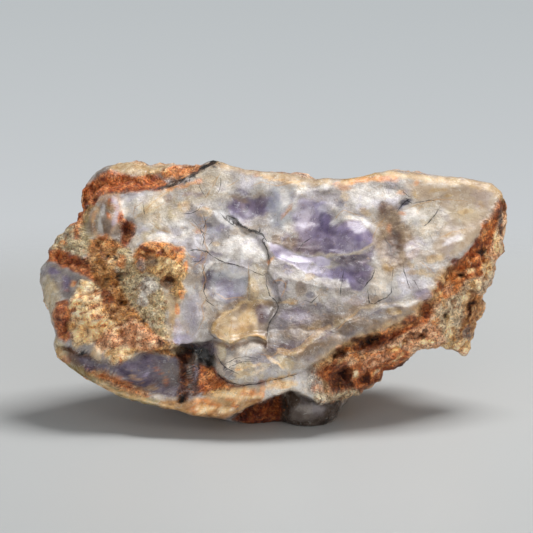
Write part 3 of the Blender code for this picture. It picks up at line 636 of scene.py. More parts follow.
# Outlines filled with a tone: tone, strength, softness of the edge, outline
FIELDS = (
    ("rind", 1.0, 0.8, ((57, 56.5), (55.3, 54.6), (53.4, 50.8), (51.1, 48.5), (49.4, 45.4), (48, 42.6),
     (45.4, 40), (42.8, 38.1), (40.9, 36.2), (39.5, 33.9), (37.7, 30.8), (35.3, 28.7), (32.7, 26.4),
     (30.6, 24.9), (27.8, 23.5), (24, 22.8), (20, 21.4), (16.5, 19.5), (14.1, 17.2), (11.3, 15.5),
     (9.4, 13.2), (8.7, 10.6), (9.4, 8.2), (11.3, 6.1), (15.5, 6.1), (20.5, 7.5), (27.1, 11.8),
     (31.5, 14.6), (33.7, 17.4), (39.8, 18.4), (46.1, 16), (48, 18.4), (51.3, 29.2), (53.7, 35.3),
     (56.5, 41.9), (57.9, 51.3))),
    ("rust", 0.95, 0.6, ((55.5, 56.5), (53.9, 53.7), (52.2, 50.4), (50.4, 48.2), (49.2, 45.4), (47.5, 42.6),
     (45.2, 40.2), (42.6, 38.4), (40.5, 36.2), (39.1, 33.9), (37.2, 30.8), (35.3, 28.2), (34.4, 25.9),
     (31.5, 24.7), (27.3, 23.3), (23.5, 22.6), (19.5, 21.4), (16.5, 19.5), (14.8, 16.9), (17.9, 17.9),
     (24, 19.1), (28.7, 21.2), (32.9, 22.6), (37.2, 24.9), (38.6, 27.8), (37.7, 29.7), (40.9, 31.1),
     (44.2, 32.9), (46.1, 34.8), (49.4, 35.3), (51.3, 37.7), (51.8, 41.4), (52.7, 45.2), (54.1, 49.9))),
    ("orange", 0.75, 1.2, ((40.9, 36.2), (44.2, 37.2), (46.1, 34.8), (44.7, 32), (41.9, 30.1), (38.6, 29.2),
     (36.2, 29.2), (38.6, 32))),
    ("salmon", 0.65, 1.2, ((37.7, 25.4), (40, 23.1), (41.9, 19.3), (39.5, 19.3), (35.3, 19.5), (31.5, 17.9),
     (29.7, 16), (27.1, 16.5), (28.7, 19.8), (33.4, 23.1))),
    ("ivory", 0.75, 1.0, ((38.6, 27.3), (40.9, 30.1), (45.2, 32), (46.1, 30.1), (45.7, 25.9), (44.7, 19.3),
     (41.9, 20.2), (40, 23.1))),
    ("ivory", 0.6, 1.0, ((46.1, 34.8), (50.8, 35.8), (52.7, 37.2), (52.7, 34.8), (50.4, 31.5), (47.1, 31.5),
     (45.2, 30.1), (42.8, 30.1))),
    ("rubble", 0.85, 0.9, ((45.7, 31.1), (48, 31.8), (50.1, 30.6), (50.4, 28.2), (49, 23.1), (47.5, 18.8),
     (45.2, 18.4), (44.7, 23.1), (45.7, 26.8))),
    ("brick", 0.85, 0.9, ((17.9, 19.3), (20.2, 21.2), (24, 22.4), (28.7, 22.4), (31.5, 22.6), (28.7, 20.2),
     (25.4, 18.4), (22.6, 17.9), (19.3, 18.4), (16, 17.9))),
    ("brick", 0.9, 1.2, ((12.2, 14.6), (15.1, 16.5), (17.9, 16), (19.8, 13.2), (18.8, 9.4), (15.5, 7.8),
     (13.4, 9.9), (12, 12.2))),
    ("rust", 0.9, 0.9, ((18.8, 14.6), (24.9, 17.9), (30.1, 19.3), (32.9, 17.9), (31.1, 15.1), (26.8, 12.2),
     (21.7, 8.9), (18.8, 8.5), (19.3, 11.3))),
    ("brick", 0.8, 0.7, ((31.5, 15.5), (29.7, 13.2), (25.9, 11.3), (21.2, 8.2), (18.4, 8), (22.6, 10.4),
     (26.8, 13.2))),
    ("rust", 0.85, 1.0, ((8.9, 13.2), (10.4, 15.5), (13.2, 16), (14.6, 14.1), (13.6, 11.3), (14.1, 8.5),
     (11.3, 8.5), (8.9, 9.9))),
    ("ivory", 0.9, 0.6, ((11.3, 6.1), (13.2, 7.1), (16.5, 8.5), (20.2, 9.4), (21.2, 8), (15.5, 6.1))),
    # the top left
    ("rust", 0.95, 0.8, ((-40.5, 59.5), (-38.1, 61), (-35.3, 60), (-31.5, 59.3), (-28.2, 60.2),
     (-26.4, 59.3), (-24.2, 57.7), (-25.4, 56.2), (-30.1, 55.8), (-33.9, 55.3), (-38.6, 55.2),
     (-40.2, 54.4), (-41.4, 52.2), (-42.8, 49.9), (-44.2, 47.1), (-45.7, 44.2), (-47.1, 46.1), (-48, 49),
     (-45.2, 53.7), (-43.8, 57))),
    ("brick", 0.8, 0.7, ((-39.1, 55.5), (-35.3, 56), (-31.5, 56.7), (-28.2, 56.5), (-25.4, 56.7),
     (-26.8, 56), (-30.6, 55.7), (-35.3, 55.1), (-39.1, 55.1))),
    ("orange", 0.9, 0.8, ((-26.4, 60.7), (-23.1, 61.9), (-18.8, 61.9), (-16, 61.9), (-17.4, 60.2),
     (-20.7, 58.6), (-24.5, 58.6))),
    ("rim", 0.9, 0.8, ((-38.4, 61.2), (-37.7, 63.5), (-33.9, 63.5), (-29.4, 62.6), (-28.2, 61.4),
     (-25.9, 63.1), (-23.1, 62.4), (-25.9, 60.2), (-28.7, 59.5), (-32, 59.3), (-35.3, 60.2))),
    ("rubble", 0.55, 1.2, ((-40, 54.6), (-38.1, 55.3), (-35.3, 55.1), (-34.4, 52.7), (-35.1, 50.4),
     (-35.8, 47.1), (-37.2, 44.5), (-39.1, 44.5), (-40.2, 47.5), (-40.5, 51.3))),
    ("white", 0.75, 0.8, ((-35.1, 53), (-33.9, 54.4), (-30.6, 55.3), (-28.7, 53.9), (-29.9, 50.8),
     (-32, 49.2), (-33.9, 49.9), (-35.1, 51.3))),
    ("ivory", 0.7, 0.7, ((-42.4, 51.5), (-40.7, 52.7), (-39.8, 50.4), (-40, 46.6), (-41.2, 44.2),
     (-42.8, 45.2), (-43.3, 48.5))),
    ("rust", 0.85, 0.7, ((-35.5, 50.6), (-34.4, 49), (-32.5, 48.5), (-31.3, 47.5), (-32, 45.2),
     (-33.2, 43.3), (-34.4, 42.4), (-35.5, 43.5), (-35.1, 46.1), (-35.8, 48.5))),
    ("ivory", 0.4, 1.6, ((-16.5, 60.2), (-13.2, 61.7), (-9.9, 60.2), (-8, 57.4), (-9.9, 54.6),
     (-13.2, 53.7), (-16.5, 52.7), (-19.8, 53.7), (-21.2, 56), (-18.8, 58.4))),
    ("ivory", 0.5, 1.4, ((-31.5, 53.7), (-25.9, 55.1), (-21.7, 53.7), (-20.2, 49.9), (-23.5, 47.5),
     (-28.2, 48.5), (-31.1, 49.9))),
    ("frost", 0.5, 2.0, ((-15.1, 49.9), (-10.4, 52.2), (-8, 49.9), (-8.9, 46.6), (-12.7, 44.2),
     (-15.5, 46.1))),
    ("white", 0.5, 1.4, ((-31.1, 48.5), (-27.8, 49.9), (-22.1, 48.5), (-18.8, 46.1), (-19.8, 42.8),
     (-24.5, 43.8), (-28.2, 44.7), (-31.1, 43.8), (-32.9, 41.9), (-32.5, 45.2))),
    ("white", 0.4, 2.0, ((-20.2, 33.4), (-15.5, 33.9), (-14.6, 29.2), (-15.1, 24.5), (-17.4, 21.2),
     (-20.7, 19.8), (-22.1, 24), (-21.2, 29.7))),
    ("grey", 0.85, 0.8, ((-41.7, 58.8), (-40.5, 62.1), (-38.1, 63.5), (-37.2, 61.9), (-39.1, 60.2),
     (-40.5, 59.1))),
    ("moss", 0.85, 1.0, ((-50.8, 45.2), (-48, 47.5), (-44.7, 48.5), (-42.8, 44.7), (-41.9, 41.4),
     (-44.7, 40.2), (-48, 40.9), (-51.8, 41.9), (-51.8, 44.2))),
    ("grey", 0.9, 0.9, ((-52.7, 38.1), (-50.4, 39.1), (-47.5, 36.9), (-44.7, 36.2), (-43.8, 34.8),
     (-45.7, 32), (-47.5, 30.6), (-49.9, 32), (-51.8, 34.4))),
    ("ivory", 0.75, 1.0, ((-55.1, 35.8), (-52.2, 36.2), (-50.6, 33.9), (-49.2, 30.8), (-49.9, 28.2),
     (-50.8, 25.4), (-52.2, 24), (-54.1, 30.1))),
    ("rust", 0.9, 0.8, ((-53.2, 41.4), (-49.9, 42.1), (-47.1, 41.2), (-44.7, 40.2), (-41.9, 40),
     (-40.7, 38.1), (-39.8, 35.3), (-41.4, 33.9), (-44, 35.8), (-46.1, 36.9), (-48, 38.1), (-49.9, 39.1),
     (-52.7, 39.5))),
    ("rust", 0.8, 0.8, ((-52.2, 41.9), (-49.4, 42.1), (-48, 40.9), (-49.4, 39.5), (-47.1, 38.1),
     (-48, 37.7), (-50.4, 38.8), (-52.5, 39.8))),
    # the left: rubble, knob, mound
    ("rubble", 1.0, 1.0, ((-42.8, 43.8), (-40, 45.2), (-36.2, 44.7), (-33.9, 42.8), (-35.3, 40.5),
     (-36.2, 37.7), (-34.8, 33.9), (-33.4, 31.1), (-31.1, 28.2), (-27.3, 23.1), (-24, 20.7), (-19.8, 19.3),
     (-21.7, 16.5), (-28.2, 17.9), (-33.4, 17.9), (-37.7, 17.9), (-40.9, 19.3), (-41.9, 22.6),
     (-39.1, 27.8), (-40.5, 32.9), (-41.9, 35.8), (-42.8, 39.1))),
    ("moss", 0.9, 1.0, ((-35.8, 41.9), (-32.9, 42.8), (-32, 40.5), (-31.5, 37.7), (-29.2, 36.7),
     (-25.9, 36.2), (-25.4, 32.5), (-24, 30.1), (-24.5, 25.9), (-23.5, 20.7), (-26.4, 21.2), (-27.8, 24),
     (-30.1, 26.4), (-32.5, 28.7), (-34.4, 32), (-35.8, 35.8), (-36.2, 38.6))),
    ("tan", 0.95, 0.9, ((-32.2, 39.1), (-31.5, 41.9), (-28.2, 44.2), (-24.5, 43.8), (-21.2, 42.8),
     (-19.8, 40.7), (-20.2, 38.6), (-19.1, 36.5), (-20.5, 34.6), (-19.8, 32.2), (-22.1, 30.1), (-23.5, 32),
     (-26.4, 35.8), (-29.2, 36.7), (-31.1, 36.7))),
    ("orange", 0.9, 0.8, ((-32, 39.1), (-31.5, 41.9), (-29.2, 43.8), (-26.4, 44.5), (-24.2, 43.5),
     (-21.2, 42.6), (-19.8, 40), (-21.7, 38.6), (-23.5, 40), (-25.9, 40.5), (-28.2, 39.5), (-30.1, 38.6))),
    ("cream", 1.0, 0.9, ((-45.7, 32.5), (-44.7, 34.6), (-42.4, 34.8), (-40, 32.9), (-39.8, 30.1),
     (-38.8, 27.3), (-36.9, 25.2), (-37.2, 23.1), (-39.1, 21.4), (-40.9, 20.5), (-42.8, 19.5),
     (-45.7, 19.3), (-46.6, 21.2), (-47.1, 24), (-47.8, 27.3), (-47.1, 29.7))),
    ("rust", 0.9, 0.9, ((-49.9, 29.7), (-47.5, 30.1), (-46.8, 27.8), (-47.1, 24.5), (-46.6, 21.2),
     (-48, 20.2), (-49.4, 21.2), (-50.8, 23.5), (-51.1, 26.8))),
    ("brick", 0.85, 0.8, ((-40, 32.9), (-37.7, 32.5), (-36.2, 30.1), (-37.2, 28.2), (-39.1, 28.7))),
    ("salmon", 0.85, 1.0, ((-40.7, 21.2), (-38.6, 22.8), (-35.8, 24), (-32.5, 25.9), (-29.2, 24),
     (-26.8, 22.1), (-24.5, 20), (-27.8, 18.1), (-32, 18.6), (-35.8, 18.1), (-39.1, 17.9), (-40.9, 19.3))),
    ("cream", 0.9, 0.8, ((-39.1, 17.9), (-37.2, 18.8), (-33.9, 19.3), (-31.5, 18.6), (-32, 16.9),
     (-33.9, 15.8), (-34.8, 14.4), (-37.2, 15.1))),
    ("honey", 0.7, 2.2, ((-24.9, 32), (-22.1, 32), (-20.2, 30.1), (-22.1, 27.3), (-21.4, 24.9),
     (-23.1, 22.6), (-22.6, 20.2), (-24.5, 21.2), (-24, 25.9))),
    ("moss", 0.79, 1.0, ((-50.8, 21.7), (-48, 19.8), (-46.6, 16.9), (-43.8, 14.6), (-45.2, 12.7),
     (-49, 15.5), (-50.8, 18.4))),
    # brown along the crevice under the overhang's left end: a stain there, and painted shade in the crevice
    ("brown", 0.79, 0.8, ((-48.5, 19.3), (-45.7, 18.4), (-41.9, 17.7), (-41.4, 16.5), (-44.7, 16),
     (-42.8, 13.2), (-45.2, 13.6), (-47.5, 16.5))),
    # under the overhang
    ("slate", 1.0, 0.7, ((-44.7, 16.7), (-41.9, 16.5), (-39.5, 15.1), (-36.7, 14.1), (-34.8, 15.3),
     (-32.5, 15.8), (-30.1, 16.9), (-27.8, 17.7), (-24.9, 16.9), (-21.7, 16.5), (-21.2, 11.3), (-21.7, 7.5),
     (-24, 7.3), (-27.8, 8.7), (-31.1, 9.9), (-34.4, 12), (-37.7, 13.4), (-40.9, 13.4), (-43.8, 13.9))),
    ("grey", 0.7, 1.0, ((-25.4, 15.1), (-22.1, 16), (-21.4, 11.8), (-22.1, 8), (-24.5, 8.5),
     (-25.9, 11.3))),
    ("olive", 0.79, 0.7, ((-49, 15.5), (-45.7, 14.6), (-42.4, 13.9), (-39.5, 12.2), (-36.7, 10.1),
     (-32.9, 8.5), (-28.7, 7.3), (-24.9, 6.8), (-21.2, 6.4), (-17.4, 5.6), (-17.4, 3.3), (-22.1, 3.5),
     (-28.7, 5.2), (-35.8, 7.1), (-42.8, 10.8), (-49, 14.1))),
    ("rubble", 0.8, 0.9, ((-43.8, 14.6), (-40.5, 13.9), (-36.7, 12.7), (-32.9, 10.6), (-28.7, 8.7),
     (-27.3, 7.1), (-31.1, 7.5), (-35.3, 8.9), (-39.1, 11.3), (-42.8, 12.7))),
    ("brown", 0.95, 0.7, ((-22.6, 18.4), (-20.2, 19.5), (-17.9, 19.3), (-17.9, 16.5), (-19.8, 15.5),
     (-18.8, 11.3), (-18.8, 7.5), (-19.8, 5.9), (-21.9, 6.1), (-21.2, 11.3), (-21.7, 16))),
    ("brown", 0.9, 0.6, ((-21.2, 16.9), (-19.1, 16.5), (-19.1, 8.5), (-20.9, 8.5))),
    ("brown", 0.9, 0.7, ((-18.6, 15.5), (-16.5, 15.5), (-15.8, 11.8), (-16.5, 8), (-18.4, 7.5),
     (-18.8, 11.3))),
    ("rust", 0.95, 0.7, ((-16.5, 15.1), (-13.2, 14.6), (-11.8, 12.2), (-9.4, 10.6), (-7.5, 9.6),
     (-10.4, 8.9), (-13.2, 8.5), (-15.1, 7.5), (-16.5, 8.9))),
    ("rim", 0.79, 0.8, ((-15.5, 7.5), (-13.2, 8.9), (-9.4, 9.9), (-4.7, 9.9), (0.5, 11.1), (4.7, 12),
     (9.9, 12.7), (14.1, 10.8), (13.2, 6.1), (9.9, 7.1), (4.7, 9.1), (0.5, 7.3), (-4.9, 5.4), (-7.5, 3.8),
     (-10.8, 2.4), (-16, 2.8), (-19.8, 4.2), (-19.8, 6.6))),
    ("white", 1.0, 1.4, ((-1.9, 10.6), (1.4, 11.3), (4.7, 12), (9.9, 13.2), (12.2, 10.4), (13.2, 6.1),
     (9.9, 7.1), (4.7, 9.1), (0.5, 7.3), (-1.9, 6.8))),
    ("rubble", 0.79, 0.9, ((-25.9, 6.8), (-19.8, 6.6), (-16.5, 7.1), (-12.7, 6.4), (-8.9, 6.1), (-4.7, 7.1),
     (-1.9, 8), (-1.9, 6.1), (-4.9, 5.2), (-7.1, 4), (-10.8, 1.9), (-16.5, 2.8), (-22.1, 3.5),
     (-25.9, 4.2))),
    ("brick", 1.0, 0.6, ((-7.5, 3.5), (-4.9, 5.2), (-0.9, 6.6), (0.9, 7.5), (3.3, 8), (4.2, 5.6),
     (3.3, 1.9), (0, -0.5), (-4.7, 0.5), (-8.9, 1.9))),
    # the nodule under the ledge: dark grey-brown laid on as painted shade
    ("shade", 1.0, 0.7, ((2.4, 7.1), (4.7, 8.8), (7.1, 8), (9.9, 6.8), (13.2, 5.9), (16.9, 7.1),
     (16.5, 2.8), (12.2, 0), (7.1, -0.9), (2.8, 1.4))),
    # flakes
    ("milk", 1.0, 0.6, ((-13.2, 20.9), (-11.3, 20.5), (-9.2, 19.5), (-7.1, 20.7), (-4.7, 21.4),
     (-2.8, 21.4), (-0.9, 20.2), (1.4, 19.3), (4.7, 17.9), (8.5, 18.4), (11.8, 16), (10.8, 13.2),
     (7.1, 13.2), (1.2, 11.5), (-4.7, 10.4), (-9.2, 10.8), (-12.2, 12.7), (-13.4, 16), (-13.4, 18.4))),
    ("fog", 0.75, 0.8, ((-13.2, 20.9), (-9.2, 19.5), (-7.1, 20.5), (-8, 18.4), (-10.8, 16.9), (-12.2, 14.6),
     (-13.4, 16.5))),
    ("hood", 1.0, 0.35, ((-14.1, 22.8), (-13.2, 24.9), (-10.8, 27.1), (-7.5, 28.7), (-5.2, 29.9),
     (-1.9, 30.4), (0.9, 29.7), (1.4, 27.1), (0, 24.9), (-0.5, 22.4), (-0.9, 20.2), (-2.8, 21.4),
     (-4.7, 21.4), (-7.1, 20.7), (-9.2, 19.5), (-11.8, 21.2))),
    ("fog", 0.95, 1.6, ((-3.8, 28.7), (-0.9, 30.1), (1.4, 29.2), (0.9, 26.8), (-0.2, 24.5), (-0.7, 21.7),
     (-2.8, 22.1), (-3.3, 24.9), (-4.2, 27.3))),
    # the middle of the face
    ("fog", 0.6, 3.0, ((40.9, 39.1), (37.7, 34.8), (34.8, 30.6), (30.6, 27.3), (25.9, 25.4), (18.8, 24),
     (13.2, 20.2), (9.4, 16), (7.1, 13.2), (9.9, 11.3), (16.5, 18.8), (25.9, 22.6), (33.4, 24.9),
     (39.1, 30.1), (41.9, 35.8), (45.7, 40))),
    ("tan", 0.6, 2.2, ((40, 37.7), (37.7, 33.9), (34.8, 30.1), (31.5, 27.3), (26.8, 25.2), (20.2, 22.8),
     (16, 20.5), (13.2, 17.9), (10.4, 15.1), (11.8, 14.1), (17.4, 18.4), (25.9, 22.1), (33.4, 24.5),
     (39.1, 29.7), (41.9, 34.8), (44.2, 38.6))),
    ("grey", 0.95, 2.8, ((-1.9, 27.3), (2.4, 30.1), (8.5, 30.1), (14.1, 29.2), (21.2, 28.2), (28.7, 28.5),
     (32, 26.8), (25.9, 24), (18.8, 21.2), (14.1, 18.4), (8, 16.5), (1.9, 17.9), (-0.5, 21.2))),
    ("fog", 1.0, 2.6, ((7.1, 24.9), (14.1, 26.8), (19.3, 26.1), (18.4, 22.8), (13.6, 19.3), (8.9, 16.5),
     (3.3, 16.7), (-0.5, 18.4), (3.3, 19.8), (7.1, 20.7))),
    ("moss", 0.42, 1.6, ((-5.2, 39.1), (-3.3, 38.6), (-1.2, 37.2), (-0.5, 33.9), (0.5, 30.6), (-1.9, 30.1),
     (-4.7, 29.7), (-5.4, 32.5))),
    ("buff", 0.85, 1.6, ((31.8, 57.9), (40, 58.4), (52.2, 57), (54.6, 54.6), (52.7, 50.8), (49, 45.2),
     (45.2, 41.4), (40.9, 40), (38.1, 41.9), (40, 46.1), (42.4, 50.4), (37.7, 53.7), (33.4, 54.1))),
    ("ivory", 0.35, 2.0, ((32.9, 52.7), (40, 53.2), (47.1, 52.2), (50.8, 50.4), (47.1, 48.5), (40, 47.1),
     (37.2, 44.2), (33.4, 45.2), (31.5, 47.5))),
    ("violet", 0.9, 1.2, ((-8.5, 54.1), (-5.6, 54.8), (-3.3, 54.1), (0, 54.6), (1.4, 52.7), (-0.5, 50.4),
     (-3.3, 49.9), (-6.1, 48.5), (-8.5, 49.4), (-9.9, 51.8))),
    ("frost", 0.7, 2.0, ((0, 56.5), (2.8, 57.4), (5.2, 56.5), (5.6, 53.7), (5.6, 49), (3.3, 46.6),
     (0.5, 47.1), (-0.5, 51.8))),
    ("dusk", 0.85, 1.6, ((5.6, 52.2), (7.1, 54.1), (9.9, 53.7), (12.2, 52.7), (14.1, 50.8), (15.5, 48.5),
     (15.1, 44.2), (16, 41.4), (13.2, 40.7), (9.9, 41.9), (7.1, 44.2), (5.4, 47.1))),
    ("violet", 0.85, 1.6, ((11.3, 49.9), (13.2, 51.3), (14.6, 48.5), (15.1, 44.7), (16.9, 41.4),
     (20.2, 40.7), (22.6, 41.9), (19.3, 40), (15.5, 40.2), (12.2, 41.4), (10.8, 45.2))),
    ("dusk", 0.9, 1.2, ((14.8, 47.3), (17.9, 49.2), (21.2, 48.7), (23.5, 46.8), (24.7, 44.7), (23.5, 42.6),
     (20.7, 41.2), (17.4, 40.9), (15.3, 42.8), (14.4, 45.2))),
    ("mauve", 0.95, 1.2, ((2.1, 45), (4.7, 45.7), (7.1, 44.2), (11.3, 43.8), (12.2, 41.9), (9.4, 40.5),
     (6.1, 41.4), (3.3, 42.8))),
    ("violet", 0.85, 1.0, ((14.1, 37.7), (17.7, 38.6), (21.7, 39.1), (24.5, 37.7), (23.5, 34.4), (21.2, 32),
     (18.8, 32.5), (17.9, 34.8), (15.1, 34.8), (10.8, 35.3))),
    ("mauve", 0.8, 0.8, ((13.6, 39.8), (17.7, 40.2), (21.2, 40.7), (24.5, 42.4), (23.8, 39.1), (20.2, 37.9),
     (16.5, 38.4))),
    # the lavender band: lavender opal, painted lighter as a highlight along its edge that faces up
    ("lilac", 1.0, 0.5, ((-0.5, 43.8), (1.4, 43.5), (3.8, 42.4), (6.4, 40.7), (9.4, 40.2), (12.2, 40.5),
     (14.4, 39.5), (14.1, 38.4), (11.8, 37.9), (9.9, 39.1), (8.5, 36.7), (6.4, 37.7), (4.2, 39.1),
     (1.6, 40), (0, 41.7))),
    # the whitish facet: pale opal, with a painted reflection of the lamps on it
    ("white", 0.8, 0.7, ((-10.8, 44), (-8.9, 45), (-5.6, 45.7), (-3.3, 45.4), (-1.9, 44), (-0.9, 41.9),
     (-0.7, 39.8), (-2.8, 39.1), (-6.1, 39.1), (-9.9, 39.8), (-11.3, 41.9))),
    ("slate", 0.9, 1.4, ((-15.8, 35.8), (-14.6, 37.2), (-13.2, 37.7), (-12.7, 35.8), (-13.6, 32.9),
     (-12.7, 30.1), (-14.6, 31.1), (-15.5, 33.4))),
    ("frost", 0.75, 1.4, ((-13.4, 36.5), (-10.8, 37.7), (-7.1, 37.7), (-5.2, 35.8), (-5.2, 32.5),
     (-7.1, 30.6), (-9.9, 29.7), (-12.7, 31.1), (-14.1, 33.9))),
    ("white", 0.75, 1.6, ((-13.2, 39.8), (-9.4, 40.5), (-4.7, 39.5), (-3.3, 37.7), (-5.2, 36), (-8.5, 36.2),
     (-12.2, 37.2))),
    # the pinkish-white patch: pale opal, with a painted reflection
    ("white", 0.55, 2.0, ((18.8, 56), (22.6, 57.4), (26.4, 56), (30.1, 55.5), (31.1, 53.7), (29.2, 52.2),
     (25.9, 52.2), (23.1, 51.3), (20.2, 52.2))),
    ("white", 0.4, 2.4, ((24, 37.7), (28.2, 38.1), (32.9, 37.7), (33.9, 33.9), (31.5, 30.6), (26.8, 30.1),
     (24, 32.5))),
    ("stain_and_shade", 0.78, 2.4, ((25.7, 51.8), (28.2, 53), (30.6, 50.8), (32.9, 47.5), (34.6, 43.8), (33.4, 40),
     (31.1, 37.2), (27.8, 36.2), (25.9, 38.6), (24.9, 42.8), (24.5, 47.1))),
)

